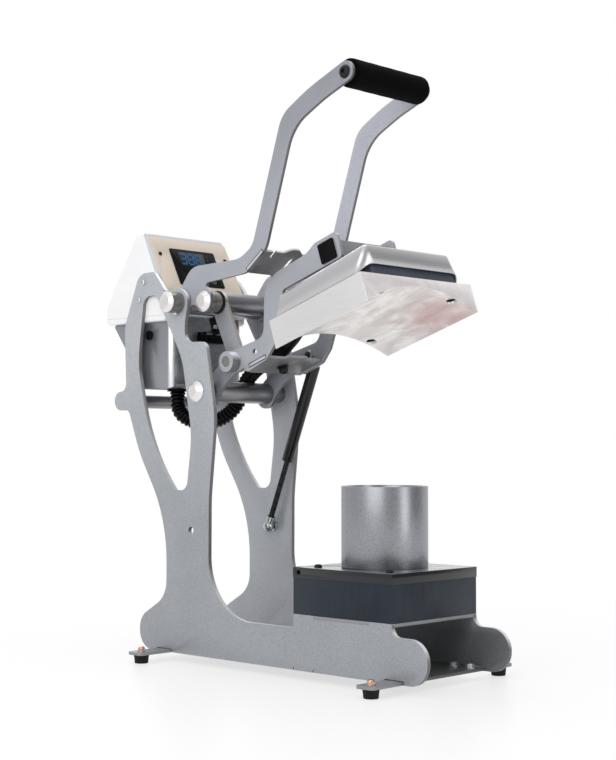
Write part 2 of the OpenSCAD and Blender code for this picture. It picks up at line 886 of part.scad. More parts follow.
module tube_plugs() {
    reach = arm_x + arm_t;
    color("#17171a") lifted() mirrored() {
        slab(reach, reach + 3) translate(tube_at) square(plug_w, center = true);
        slab(reach - 10, reach) translate(tube_at) square(tube_w - 4.1, center = true);
    }
}

// Heated platen, drawn closed

hollow_r = (platen_w * platen_w / 4 + hollow_depth * hollow_depth) / (2 * hollow_depth);
platen_top = platen_z + platen_h;
hollow_z = platen_z + hollow_depth - hollow_r;
screw_at = [73, 75];
element_z = platen_top - 8;

function hollow_height(x) = hollow_z + sqrt(hollow_r * hollow_r - x * x);

module at_platen_screws() {
    for (x = [-screw_at[0], screw_at[0]])
        for (y = [-screw_at[1], screw_at[1]])
            translate([x, pedestal_y + y, hollow_height(screw_at[0])]) children();
}

module heat_platen() {
    color("#cfcfd1") lifted() difference() {
        translate([-platen_w / 2, pedestal_y - platen_l / 2, platen_z])
            cube([platen_w, platen_l, platen_h]);
        translate([0, pedestal_y, hollow_z]) rotate([90, 0, 0])
            cylinder(r = hollow_r, h = platen_l + 2, center = true, $fn = 200);
        at_platen_screws() {
            translate([0, 0, -20]) cylinder(d = 13.4, h = 29);
            cylinder(d = 5.5, h = 60);
        }
        element_path(8.4, 9);
    }
}

// Bent rod heater that lies in a groove milled in the platen's top
module element_path(w, h) {
    run_x = [-66, -22, 22, 66];
    reach = 62;
    translate([0, pedestal_y, element_z]) linear_extrude(h) {
        for (x = run_x)
            translate([x - w / 2, -reach]) square([w, 2 * reach]);
        for (k = [0 : 2])
            translate([run_x[k] - w / 2, (k % 2 == 0 ? reach : -reach) - w / 2])
                square([run_x[k + 1] - run_x[k] + w, w]);
    }
}

module heating_element() {
    color("#7a6a5a") lifted() element_path(8, 7.5);
}

// Insulation in two steps: the lower one shows under the cover, the upper one fits inside it
insulation_h = 30;
insulation_step = 16;
insulation_half = 83;
insulation_y = [-252, -94.5];
insulation_inset = 12;
module insulation_block() {
    color("#3b4452") lifted() difference() {
        union() {
            insulation_layer(0, insulation_step);
            insulation_layer(insulation_inset, insulation_h);
        }
        for (x = stud_x)
            translate([x, tube_at[0], platen_top - 1]) cylinder(d = 9, h = insulation_h + 2);
        hose_entry(24);
    }
}

module insulation_layer(inset, h) {
    half = insulation_half - inset;
    translate([-half, insulation_y[0] + inset, platen_top])
        cube([2 * half, insulation_y[1] - insulation_y[0] - inset, h]);
}

stud_x = [-30, 30];
module hose_entry(d) {
    translate([hose_x_end, -40, hose_z_end]) rotate([90, 0, 0]) cylinder(d = d, h = 70);
}

// Folded sheet cover: flared sides, rounded lower corners, its front edge above that of its sides
cover_low = platen_top + 5;
cover_lip = 8.5;
cover_top = 450;
cover_rear = -92;
cover_slope = 1.4;
cover_t = 1.5;
module cover_plan(half, front, r, t) {
    wide = half - t;
    linear_extrude(0.1) polygon(rounded([
        [-wide, -t, 0], [-wide, front + t, r], [wide, front + t, r], [wide, -t, 0]
    ]));
}

module cover_form(t) {
    hull() {
        translate([0, cover_rear, cover_low - t]) cover_plan(102, -167, 26, t);
        translate([0, cover_rear, cover_top - t - 0.1]) rotate([-cover_slope, 0, 0])
            cover_plan(84, -161, 5, t);
    }
}

module platen_cover() {
    color("#b9babd") lifted() difference() {
        cover_form(0);
        cover_form(cover_t);
        for (x = stud_x)
            translate([x, tube_at[0], cover_top - 5]) cylinder(d = 9, h = 10);
        hose_entry(20);
        slab(-120, 120) polygon([
            [-280, cover_low - 5], [-280, cover_low + cover_lip], [-256, cover_low + cover_lip],
            [-242, cover_low], [-242, cover_low - 5]
        ]);
    }
}

module platen_screws() {
    color("#8d8e92") lifted() at_platen_screws() {
        difference() {
            translate([0, 0, 4]) cylinder(d = 11, h = 5);
            translate([0, 0, 3.5]) cylinder(d = 5.6, h = 3, $fn = 6);
        }
        translate([0, 0, 9]) cylinder(d = 5.2, h = 8);
    }
}

// Studs from the platen to the cross tube, the platform bolt and the upper ball stud
module arm_bolts() {
    tube_low = tube_at[1] - tube_w / 2;
    color("#b4b5b8") lifted() {
        for (x = stud_x)
            translate([x, tube_at[0], 0]) {
                translate([0, 0, platen_top]) cylinder(d = 8, h = tube_low - platen_top);
                translate([0, 0, cover_top + 2.4]) hex_nut(15, 6.5);
            }
        at(platform_from) rotate([platform_lean, 0, 0]) translate([0, bolt_along, 0]) {
            cylinder(d = 8, h = platform_t, center = true);
            translate([0, 0, platform_t / 2]) cylinder(d = 17, h = 1.5);
            translate([0, 0, platform_t / 2 + 1.5]) cylinder(d = 13, h = 8);
            translate([0, 0, -platform_t / 2 - 6.5]) hex_nut(15, 6.5);
        }
    }
    color("#b4b5b8") {
        bar(G_top, ball_r * 0.6, arm_x, gas_x - 2);
        at(G_top, gas_x) sphere(r = ball_r);
        at(G_top, arm_x - 6) rotate([0, 90, 0]) hex_nut(14, 6);
    }
}

// Gas spring

ball_r = 5.5;
socket_r = 8;
loose = 1.6;
rod_out = 105;
module spring_stud_lower() {
    color("#b4b5b8") {
        at(G_low, gas_x) rotate(180) sphere(r = ball_r);
        bar(G_low, ball_r * 0.6, gas_x + 2, outer_x + 6);
        at(G_low, outer_x) rotate([0, 90, 0]) hex_nut(14, 5.5);
        at(G_low, inner_x - 3) rotate([0, 90, 0]) hex_nut(14, 3);
    }
}

module along_gas(from) {
    at(G_low, gas_x) rotate([gas_lean, 0, 0]) translate([0, 0, from]) children();
}

// Socket that closes round a ball, open towards the stud
module socket(room, mouth) {
    difference() {
        union() {
            sphere(r = socket_r);
            cylinder(r = socket_r * 0.75, h = 16);
        }
        sphere(r = ball_r + room);
        rotate([0, mouth, 0]) cylinder(r = ball_r * 0.6 + room + 0.8, h = 20);
    }
}

module gas_rod() {
    color("#2b2c30") along_gas(0) {
        socket(0.3, 90);
        translate([0, 0, 14]) cylinder(d = gas_rod_d, h = rod_out + 20);
    }
}

module gas_cylinder() {
    color("#141416") along_gas(0) {
        difference() {
            translate([0, 0, rod_out]) cylinder(d = gas_d, h = gas_len - rod_out - 16);
            translate([0, 0, rod_out - 1]) cylinder(d = gas_rod_d + 2 * play, h = 8);
            translate([0, 0, rod_out + 6]) cylinder(d = gas_d - 3, h = gas_len - rod_out - 30);
        }
        translate([0, 0, gas_len]) rotate([180, 0, 0]) socket(loose, -90);
    }
}

// Ribbed hose from the power box to the platen, round the back of the arm tube

hose_x_end = -22;
hose_z_end = 434;
// Its front stretch with the press closed: it passes below the brace and rises to the cover
hose_front = [
    [-3, -8, 413.6], [-12, -30, 415], [-18, -46, 418.4], [-21, -60, 425], [hose_x_end, -73, 431.4],
    [hose_x_end, -84, hose_z_end], [hose_x_end, cover_rear + 0.4, hose_z_end]
];
hose_back = [
    [gland_x, gland_y, 385], [gland_x, gland_y, 373], [gland_x + 1, gland_y - 1, 361], [-29, 196, 350],
    [-21, 183, 342], [-10, 168, 339], [3, 154, 343], [16, 144, 353], [26, 138, 367], [32, 135, 383],
    [35, 128, 399], [36, 115, 412], [34, 98, 421], [29, 78, 427], [20, 55, 432], [9, 31, 439]
];
hose_route = concat(hose_back, [
    for (p = hose_front) let (open = turned([p[1], p[2]], D, -open_angle)) [p[0], open[0], open[1]]
]);
hose_steps = 10;
// Smooth curve through the route's points
function spline(p, t) =
    let (
        n = len(p),
        i = min(floor(t), n - 2),
        f = t - i,
        a = p[max(i - 1, 0)],
        b = p[i],
        c = p[i + 1],
        d = p[min(i + 2, n - 1)]
    )
    (2 * b + (c - a) * f + (2 * a - 5 * b + 4 * c - d) * f * f + (3 * b - a - 3 * c + d) * f * f * f) / 2;
hose_curve = [for (k = [0 : hose_steps * (len(hose_route) - 1)]) spline(hose_route, k / hose_steps)];
function run_lengths(p, i = 1, sum = 0, out = [0]) =
    i >= len(p) ? out : run_lengths(p, i + 1, sum + norm(p[i] - p[i - 1]),
        concat(out, [sum + norm(p[i] - p[i - 1])]));
hose_runs = run_lengths(hose_curve);
hose_len = hose_runs[len(hose_runs) - 1];
hose_tables = [
    for (axis = [0 : 2])
        [for (i = [0 : len(hose_curve) - 1]) [hose_runs[i], hose_curve[i][axis]]]
];
function hose_point(s) = [for (axis = [0 : 2]) lookup(s, hose_tables[axis])];
function hose_heading(s) = unit(hose_point(min(s + 1.5, hose_len)) - hose_point(max(s - 1.5, 0)));
function ring(s, r) =
    let (
        mid = hose_point(s),
        ahead = hose_heading(s),
        u = unit(cross(ahead, [1, 0, 0])),
        v = cross(ahead, u)
    )
    [for (k = [0 : 7]) mid + r * (cos(45 * k) * u + sin(45 * k) * v)];

rib_rise = 1.7;
rib_pitch = hose_len / hose_ribs;
ring_runs = concat(
    [0],
    [for (k = [0 : hose_ribs - 1]) each [(k + 0.3) * rib_pitch, (k + 0.8) * rib_pitch]],
    [hose_len]
);
function ring_r(i) = hose_d / 2 - (i % 2 == 1 && i < len(ring_runs) - 1 ? 0 : rib_rise);
bore_every = 2;
bore_runs = [for (k = [0 : bore_every : hose_ribs]) k * rib_pitch];

module conduit() {
    outer = [for (i = [0 : len(ring_runs) - 1]) each ring(ring_runs[i], ring_r(i))];
    inner = [for (s = bore_runs) each ring(s, hose_bore / 2)];
    n_out = len(ring_runs);
    n_in = len(bore_runs);
    base = len(outer);
    last = 8 * (n_out - 1);
    last_in = base + 8 * (n_in - 1);
    faces = concat(
        [for (i = [0 : n_out - 2]) for (k = [0 : 7]) each quad(8 * i, 8 * i + 8, k)],
        [for (i = [0 : n_in - 2]) for (k = [0 : 7]) each quad(base + 8 * i + 8, base + 8 * i, k)],
        [for (k = [0 : 7]) each quad(base, 0, k)],
        [for (k = [0 : 7]) each quad(last, last_in, k)]
    );
    color("#121213") polyhedron(concat(outer, inner), faces);
}
// Two triangles between side k of one ring and of the next
function quad(a, b, k) =
    let (m = (k + 1) % 8)
    [[a + k, a + m, b + k], [a + m, b + m, b + k]];

// Least gap of the hose to itself, between points further along than its own bend
hose_probe = [for (s = [0 : 6 : hose_len]) hose_point(s)];
probe_skip = 10;
hose_gap = min([
    for (i = [0 : len(hose_probe) - 1])
        for (j = [i + probe_skip : 1 : len(hose_probe) - 1]) norm(hose_probe[i] - hose_probe[j])
]) - hose_d;
echo(hose_length = hose_len, hose_least_gap = hose_gap);
echo(toggle_open = B_open, link_pin_open = C_open, handle_travel = handle_travel, link_len = link_len);

side_plate_left();
side_plate_right();
base_pan();
deck_plate();
rubber_feet();
base_bolts();
base_block();
block_lid();
lid_screws();
pedestal_tube();
pedestal_bolt();
handle_shaft();
shaft_collars();
collar_screws();
shaft_caps();
arm_shaft();
rear_cross_bar();
power_box();
box_fittings();
limit_switch();
switch_lever();
console_shell();
console_panel();
display_overlay();
control_board();
panel_screws();
console_bolts();
key_left();
key_middle();
key_right();
power_inlet();
power_rocker();
conduit();
spring_stud_lower();
handle_plate_left();
handle_plate_right();
handle_brace();
grip_rod();
grip_foam();
grip_bolts();
toggle_shaft();
toggle_caps();
toggle_spacers();
toggle_washers();
link_left();
link_right();
arm_plate_left();
arm_plate_right();
platform();
pivot_tube();
cross_tube();
tube_plugs();
heat_platen();
heating_element();
insulation_block();
platen_cover();
platen_screws();
arm_bolts();
gas_rod();
gas_cylinder();
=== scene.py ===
import bmesh
import bpy
import math
from mathutils import Matrix, Vector


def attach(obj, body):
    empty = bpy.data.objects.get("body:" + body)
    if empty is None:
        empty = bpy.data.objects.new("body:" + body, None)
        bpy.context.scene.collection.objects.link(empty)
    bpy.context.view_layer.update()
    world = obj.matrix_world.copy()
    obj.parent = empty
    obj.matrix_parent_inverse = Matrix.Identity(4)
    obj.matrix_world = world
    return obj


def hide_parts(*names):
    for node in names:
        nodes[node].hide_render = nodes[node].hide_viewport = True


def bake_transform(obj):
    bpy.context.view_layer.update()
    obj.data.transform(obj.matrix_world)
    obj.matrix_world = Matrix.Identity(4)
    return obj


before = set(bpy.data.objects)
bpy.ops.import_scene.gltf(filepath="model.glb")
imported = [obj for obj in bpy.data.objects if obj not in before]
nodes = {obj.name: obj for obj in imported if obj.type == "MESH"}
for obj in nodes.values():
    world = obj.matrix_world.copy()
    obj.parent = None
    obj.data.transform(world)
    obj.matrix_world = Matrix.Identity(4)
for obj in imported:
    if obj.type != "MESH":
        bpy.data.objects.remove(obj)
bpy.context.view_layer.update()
scene = bpy.context.scene
scene.view_settings.view_transform = "Standard"
MM = 0.001


# Shader nodes

class Graph:
    """The nodes of one shader tree."""

    def __init__(self, tree):
        self.tree = tree

    def add(self, kind, **props):
        node = self.tree.nodes.new(kind)
        for key, value in props.items():
            setattr(node, key, value)
        return node

    def link(self, a, b):
        self.tree.links.new(a, b)

    def put(self, value, socket):
        """Join an output to a socket, or set the socket to a constant."""
        if isinstance(value, bpy.types.NodeSocket):
            self.link(value, socket)
        else:
            socket.default_value = value

    def span(self, value, start, end, low=0.3, high=0.7, curve="LINEAR"):
        """Map a value that runs from low to high to one that runs from start to end."""
        node = self.add("ShaderNodeMapRange", interpolation_type=curve)
        for key, at in (("From Min", low), ("From Max", high), ("To Min", start), ("To Max", end)):
            node.inputs[key].default_value = at
        self.link(value, node.inputs["Value"])
        return node.outputs["Result"]

    def math(self, kind, a, b=0):
        node = self.add("ShaderNodeMath", operation=kind)
        self.put(a, node.inputs[0])
        self.put(b, node.inputs[1])
        return node.outputs[0]

    def vector(self, kind, a, b=(0, 0, 0)):
        """One number from a vector output and a constant vector."""
        node = self.add("ShaderNodeVectorMath", operation=kind)
        self.link(a, node.inputs[0])
        node.inputs[1].default_value = b
        return node.outputs["Value"]

    def pick(self, share, a, b, out):
        """Send a share of one shader over another to the tree's output."""
        node = self.add("ShaderNodeMixShader")
        self.link(share, node.inputs["Fac"])
        self.link(a.outputs[0], node.inputs[1])
        self.link(b.outputs[0], node.inputs[2])
        self.link(node.outputs[0], self.add(out).inputs["Surface"])


# Camera, light and floor, in metres

EYE = (-1.5155, -1.4874, 0.3078)
LOOK = (0.7205, 0.692, 0.042)
LENS = 71.87
ROOM_STRENGTH = 0.78
PALE_SIDE = (-0.45, 0.65, 0.6)
BACKDROP_SIDE = (0.72, 0.69, 0)
FLOOR_REACH = 12


def aim(obj, direction):
    obj.rotation_euler = Vector(direction).to_track_quat("-Z", "Y").to_euler()


def camera():
    data = bpy.data.cameras.new("camera")
    data.sensor_width = 36
    data.lens = LENS
    data.clip_end = 50
    obj = bpy.data.objects.new("camera", data)
    obj.location = EYE
    aim(obj, LOOK)
    scene.collection.objects.link(obj)
    scene.camera = obj


def softbox(name, at, target, size, energy):
    data = bpy.data.lights.new(name, "AREA")
    data.shape = "RECTANGLE"
    data.size, data.size_y = size
    data.energy = energy
    obj = bpy.data.objects.new(name, data)
    obj.location = at
    aim(obj, Vector(target) - Vector(at))
    scene.collection.objects.link(obj)


def studio():
    world = bpy.data.worlds.new("studio")
    scene.world = world
    world.use_nodes = True
    g = Graph(world.node_tree)
    g.tree.nodes.clear()
    path = g.add("ShaderNodeLightPath").outputs
    heading = g.add("ShaderNodeTexCoord").outputs["Generated"]
    # The room is pale to the left of the backdrop and above, darker at the front right
    room = g.add("ShaderNodeBackground")
    room.inputs["Strength"].default_value = ROOM_STRENGTH
    pale = g.span(g.vector("DOT_PRODUCT", heading, PALE_SIDE), 0.31, 1.0, -0.75, 0.7)
    g.link(pale, room.inputs["Color"])
    # Metal and glass show the white backdrop behind the object too
    white = g.add("ShaderNodeBackground")
    white.inputs["Color"].default_value = (1, 1, 1, 1)
    white.inputs["Strength"].default_value = 1
    backdrop = g.span(g.vector("DOT_PRODUCT", heading, BACKDROP_SIDE), 0, 1, 0.1, 0.6, "SMOOTHSTEP")
    mirrored = g.math("MAXIMUM", path["Is Glossy Ray"], path["Is Transmission Ray"])
    seen = g.math("MAXIMUM", path["Is Camera Ray"], g.math("MULTIPLY", mirrored, backdrop))
    g.pick(seen, room, white, "ShaderNodeOutputWorld")
    softbox("key", (-1.4, -0.5, 1.0), (0, 0, 0.45), (1.2, 1.2), 8.5)
    softbox("fill", (0.15, -2.0, 0.72), (0, 0, 0.4), (0.6, 1.4), 7.5)
    softbox("top", (0.1, 0.1, 2.3), (0, 0, 0.3), (1.8, 1.8), 14)
    softbox("back", (0.9, 1.7, 1.5), (0, 0, 0.4), (1.2, 1.2), 8)


def floor():
    mesh = bpy.data.meshes.new("floor")
    corners = [(x * FLOOR_REACH, y * FLOOR_REACH, 0) for x, y in ((-1, -1), (1, -1), (1, 1), (-1, 1))]
    mesh.from_pydata(corners, [], [(0, 1, 2, 3)])
    obj = bpy.data.objects.new("floor", mesh)
    scene.collection.objects.link(obj)
    mat = bpy.data.materials.new("floor")
    mat.use_nodes = True
    g = Graph(mat.node_tree)
    g.tree.nodes.clear()
    lit = g.add("ShaderNodeBsdfPrincipled")
    lit.inputs["Base Color"].default_value = (0.9, 0.9, 0.9, 1)
    lit.inputs["Roughness"].default_value = 0.28
    lit.inputs["Specular IOR Level"].default_value = 0.22
    glow = g.add("ShaderNodeEmission")
    glow.inputs["Strength"].default_value = 1
    # White far away; near the object the floor keeps its shadow
    place = g.add("ShaderNodeNewGeometry").outputs["Position"]
    fade = g.span(g.vector("LENGTH", place), 0.66, 1.0, 0.25, 1.1, "SMOOTHSTEP")
    path = g.add("ShaderNodeLightPath").outputs
    seen = g.math("MAXIMUM", path["Is Camera Ray"], path["Is Glossy Ray"])
    g.pick(g.math("MULTIPLY", seen, fade), lit, glow, "ShaderNodeOutputMaterial")
    mesh.materials.append(mat)


camera()
studio()
floor()


# The arm and the platen are described closed and lifted about their pivot

ARM_SHAFT = (104.3, 381.5)
PIVOT = Vector((0, *ARM_SHAFT))
OPEN_ANGLE = math.radians(18.3)
LIFT = (Matrix.Translation(PIVOT * MM) @ Matrix.Rotation(-OPEN_ANGLE, 4, "X")
        @ Matrix.Translation(-PIVOT * MM))


# Materials

def tint(r, g, b):
    """Linear colour of an 8-bit screen colour."""
    def one(c):
        c /= 255
        return c / 12.92 if c <= 0.04045 else ((c + 0.055) / 1.055) ** 2.4
    return (one(r), one(g), one(b), 1)


def shade(colour, k):
    return tuple(min(1, c * k) for c in colour[:3]) + (1,)


class Finish(Graph):
    """A Principled material whose textures lie in the object's own metres."""

    def __init__(self, name, metal, rough, **more):
        self.mat = bpy.data.materials.new(name)
        self.mat.use_nodes = True
        super().__init__(self.mat.node_tree)
        self.skin = self.tree.nodes["Principled BSDF"]
        self.skin.inputs["Metallic"].default_value = metal
        self.skin.inputs["Roughness"].default_value = rough
        for key, value in more.items():
            self.skin.inputs[key.replace("_", " ")].default_value = value
        self.where = self.add("ShaderNodeTexCoord")

    def spot(self, stretch=(1, 1, 1)):
        node = self.add("ShaderNodeMapping")
        node.inputs["Scale"].default_value = stretch
        self.link(self.where.outputs["Object"], node.inputs["Vector"])
        return node.outputs["Vector"]

    def noise(self, scale, detail=2.0, stretch=(1, 1, 1), warp=0.0):
        node = self.add("ShaderNodeTexNoise")
        node.inputs["Scale"].default_value = scale
        node.inputs["Detail"].default_value = detail
        node.inputs["Distortion"].default_value = warp
        self.link(self.spot(stretch), node.inputs["Vector"])
        return node.outputs["Fac"]

    def cells(self, scale, stretch=(1, 1, 1)):
        node = self.add("ShaderNodeTexVoronoi")
        node.inputs["Scale"].default_value = scale
        self.link(self.spot(stretch), node.inputs["Vector"])
        return node.outputs["Distance"]

    def axis(self, name, source="Object"):
        node = self.add("ShaderNodeSeparateXYZ")
        self.link(self.where.outputs[source], node.inputs[0])
        return node.outputs[name]

    def mix(self, fac, a, b, blend="MIX"):
        node = self.add("ShaderNodeMix", data_type="RGBA", blend_type=blend)
        for value, slot in ((fac, 0), (a, 6), (b, 7)):
            self.put(value, node.inputs[slot])
        return node.outputs[2]

    def times(self, tone, by):
        """A tone multiplied by a constant colour or by one number."""
        by = by if isinstance(by, tuple) else (by, by, by)
        return self.mix(1.0, tone, by + (1,), "MULTIPLY")

    def colour(self, value):
        self.link(value, self.skin.inputs["Base Color"])

    def rough(self, value):
        self.link(value, self.skin.inputs["Roughness"])

    def bump(self, value, strength, height):
        node = self.add("ShaderNodeBump")
        node.inputs["Strength"].default_value = strength
        node.inputs["Distance"].default_value = height
        self.link(value, node.inputs["Height"])
        old = self.skin.inputs["Normal"]
        if old.is_linked:
            self.link(old.links[0].from_socket, node.inputs["Normal"])
        self.link(node.outputs["Normal"], old)


# Painted highlight on sawn edges that face up
LIT_EDGE = (214, 215, 219)


def coat(name, rgb, metal=0.3, rough=0.4, fleck=0.24, cut=None, crown=None, corner_highlight=None, inside_shade=False,
         fade=None, **more):
    """Fine-flake powder coat. cut is the tone of the sawn edges of a plate that stands across the width;
    the edges that face up get LIT_EDGE, a painted highlight. crown is a painted highlight on faces that
    look up, corner_highlight one on rounded upright corners. inside_shade paints shade on the inside of
    the base. fade is two heights in metres and what the coat is multiplied by above them: painted light
    where that is above 1, painted shade where it is below."""
    f = Finish(name, metal, rough, **more)
    base = tint(*rgb)
    flakes = f.noise(1350, 2.5)
    tone = f.mix(f.span(flakes, 0, 1, 0.34, 0.66), shade(base, 1 - fleck), shade(base, 1 + fleck))
    drift = f.noise(11, 3)
    tone = f.mix(f.span(drift, 0, 1, 0.35, 0.65), tone, f.times(tone, (0.93, 0.93, 0.935)))
    if cut:
        flat = f.math("ABSOLUTE", f.axis("X", "Normal"))
        sawn = f.noise(700, 2, (0.12, 1, 1))
        edge = f.mix(f.span(sawn, 0, 1), shade(tint(*cut), 0.82), shade(tint(*cut), 1.12))
        # Sawn edges that face up get a painted highlight
        edge = f.mix(f.span(f.axis("Z", "Normal"), 0, 1, 0.1, 0.6), edge, tint(*LIT_EDGE))
        tone = f.mix(f.span(flat, 0, 1, 0.55, 0.8), edge, tone)
    # Painted light and shade by height: above the heights the coat is multiplied by the factor
    if fade:
        low, high, factor = fade
        tone = f.mix(f.span(f.axis("Z"), 0, 1, low, high), tone, f.times(tone, factor))
    # Painted highlight on faces that look up
    if crown:
        top_highlight = f.mix(f.span(flakes, 0, 1), shade(tint(*crown), 0.9), shade(tint(*crown), 1.1))
        tone = f.mix(f.span(f.axis("Z", "Normal"), 0, 1, 0.6, 0.9), tone, top_highlight)
    # Painted highlight on rounded upright corners
    if corner_highlight:
        across = f.math("ABSOLUTE", f.axis("X", "Normal"))
        corner = f.math("MULTIPLY", across, f.math("ABSOLUTE", f.axis("Y", "Normal")))
        tone = f.mix(f.span(corner, 0, 1, 0.32, 0.5), tone, tint(*corner_highlight))
    if inside_shade:
        # Painted shade between the side plates, low down and towards the front
        between = f.span(f.math("ABSOLUTE", f.axis("X")), 1, 0, 0.0796, 0.08)
        low = f.span(f.axis("Z"), 1, 0, 0.06, 0.09)
        front = f.span(f.axis("Y"), 1, 0, -0.1, 0.02)
        deep = f.math("MULTIPLY", f.math("MULTIPLY", between, low), front)
        tone = f.mix(deep, tone, f.times(tone, (0.34, 0.34, 0.33)))
    f.colour(tone)
    f.rough(f.span(flakes, rough - 0.08, rough + 0.1))
    f.bump(flakes, 0.14, 0.0002)
    f.bump(f.noise(240, 2), 0.05, 0.0004)
    return f.mat


def brushed(name, rgb, along, rough=0.3, metal=1.0, depth=0.08, smear=0.05, vary=0.06):
    """Drawn metal whose grain runs along one axis."""
    f = Finish(name, metal, rough)
    base = tint(*rgb)
    stretch = {"x": (0.02, 1, 1), "y": (1, 0.02, 1)}[along]
    grain = f.noise(1500, 2.0, stretch)
    tone = f.mix(f.span(grain, 0, 1), shade(base, 1 - depth), shade(base, 1 + depth))
    cloud = f.noise(9, 2, warp=0.3)
    f.colour(f.mix(f.span(cloud, 0, 1, 0.35, 0.7), tone, f.times(tone, 1 - smear)))
    f.rough(f.span(grain, rough - vary, rough + vary))
    f.bump(grain, depth / 4, 0.0001)
    return f.mat


def moulded(name, rgb, rough=0.45, grain=900, depth=0.1, metal=0.0, **more):
    """Moulded plastic or rubber with a fine grained skin."""
    f = Finish(name, metal, rough, **more)
    base = tint(*rgb)
    fine = f.noise(grain, 2)
    worn = f.noise(30, 4)
    f.colour(f.mix(f.span(worn, 0, 1, 0.4, 0.75), base, shade(base, 1.5)))
    f.rough(f.span(worn, rough - 0.06, rough + 0.12))
    f.bump(fine, depth, 0.0003)
    return f.mat


def plated(name, rgb, rough=0.16, drift=0.12):
    """Plated or polished metal with faint cloudy wear and turning marks."""
    f = Finish(name, 1.0, rough)
    base = tint(*rgb)
    cloud = f.noise(120, 4, warp=0.5)
    f.colour(f.mix(f.span(cloud, 0, 1), shade(base, 1 - drift), shade(base, 1 + drift * 0.5)))
    f.rough(f.span(cloud, rough - 0.05, rough + 0.1))
    f.bump(f.noise(900, 2), 0.02, 0.0001)
    return f.mat


HEAT_STAIN = (85, -210, 375)


def platen_metal():
    """Milled aluminium: faint cutter lines on the sides; on the working face a cloudy heat stain, lighter
    and pinker than the sides as a painted warm reflection; front faces get a lighter, pinkish painted
    reflection.
    """
    f = Finish("platen_aluminium", 0.6, 0.34)
    base = tint(218, 218, 219)
    lines = f.noise(1300, 2, (1, 0.02, 1))
    swirl = f.noise(30, 6, (1, 0.6, 1), 1.1)
    stain = f.noise(20, 5, (1, 0.6, 1), 0.8)
    tone = f.mix(f.span(lines, 0, 1), shade(base, 0.96), shade(base, 1.03))
    # Working face: heat stain, lighter and pinker than the sides as a painted warm reflection
    stain_and_reflection = f.mix(f.span(swirl, 0, 0.9, 0.38, 0.64), tint(220, 214, 212), tint(246, 243, 241))
    stain_and_reflection = f.mix(f.span(stain, 0, 0.6, 0.5, 0.68), stain_and_reflection, tint(192, 183, 181))
    heat = f.vector("DISTANCE", f.where.outputs["Object"], LIFT @ (Vector(HEAT_STAIN) * MM))
    near = f.math("ADD", heat, f.math("MULTIPLY", swirl, 0.06))
    stain_and_reflection = f.mix(f.span(near, 0.75, 0, 0.045, 0.1), stain_and_reflection, tint(196, 162, 158))
    # Faces that look to the front get a lighter, pinkish painted reflection
    ahead = f.span(f.axis("Y", "Normal"), 1, 0, -0.9, -0.6)
    tone = f.mix(ahead, tone, f.mix(f.span(swirl, 0, 1), tint(236, 229, 229), tint(255, 250, 251)))
    under = f.math("MULTIPLY", f.axis("Z", "Normal"), -1.0)
    f.colour(f.mix(f.span(under, 0, 1, 0.4, 0.7), tone, stain_and_reflection))
    worn = f.math("ADD", f.math("MULTIPLY", lines, 0.4), f.math("MULTIPLY", stain, 0.6))
    f.rough(f.span(worn, 0.27, 0.44))
    f.bump(lines, 0.02, 0.0001)
    return f.mat


def slate_coat():
    """Blue-grey painted block with soft clouds and faint upright strokes."""
    f = Finish("slate_coat", 0.0, 0.4, Specular_IOR_Level=0.2)
    base = tint(35, 43, 52)
    strokes = f.noise(260, 3, (1, 1, 0.08), 0.6)
    cloud = f.noise(17, 4, warp=0.5)
    tone = f.mix(f.span(cloud, 0, 1, 0.35, 0.68), shade(base, 0.7), shade(base, 1.24))
    tone = f.mix(f.span(strokes, 0, 0.3), tone, tint(56, 59, 72))
    f.colour(tone)
    f.rough(f.span(strokes, 0.34, 0.48))
    f.bump(strokes, 0.03, 0.0002)
    return f.mat


def foam():
    """Closed-cell foam: matt black with fine pores."""
    f = Finish("foam", 0, 0.93, Sheen_Weight=0.01, Sheen_Roughness=0.6, Specular_IOR_Level=0.05)
    pores = f.cells(900)
    lumps = f.noise(130, 3)
    f.colour(f.mix(f.span(pores, 0, 1, 0.1, 0.7), tint(1, 1, 1), tint(5, 5, 5)))
    f.bump(pores, 0.5, 0.0006)
    f.bump(lumps, 0.25, 0.0009)
    return f.mat


def lacquer(name, rgb):
    """Pale lacquer with a fine orange-peel skin."""
    f = Finish(name, 0.0, 0.34, Coat_Weight=0.2, Coat_Roughness=0.2)
    base = tint(*rgb)
    fine = f.noise(1500, 1.5)
    tone = f.mix(f.span(fine, 0, 1), shade(base, 0.97), shade(base, 1.03))
    dust = f.noise(14, 3)
    f.colour(f.mix(f.span(dust, 0, 1), tone, f.times(tone, (0.965, 0.965, 0.97))))
    f.rough(f.span(f.noise(40, 3), 0.28, 0.42))
    f.bump(fine, 0.05, 0.0001)
    f.bump(f.noise(260, 2), 0.03, 0.0004)
    return f.mat


SPRING_FOOT = Vector((0, 0.1145, 0.186))
SPRING_UP = Vector((0, -0.37364, 0.92757))
FITTING = 0.0155


def spring_rod():
    """Blackened rod with a zinc-plated fitting at its foot."""
    f = Finish("spring_rod", 1.0, 0.22)
    height = f.vector("DOT_PRODUCT", f.where.outputs["Object"], SPRING_UP)
    top = SPRING_FOOT.dot(SPRING_UP) + FITTING
    on_rod = f.span(height, 0, 1, top, top + 0.0005)
    streak = f.noise(700, 2, (1, 1, 0.1))
    dark = f.mix(f.span(streak, 0, 1), tint(26, 26, 28), tint(62, 62, 66))
    zinc = f.mix(f.span(f.noise(200, 3), 0, 1), tint(150, 160, 160), tint(205, 210, 208))
    f.colour(f.mix(on_rod, zinc, dark))
    f.rough(f.span(streak, 0.16, 0.32))
    return f.mat


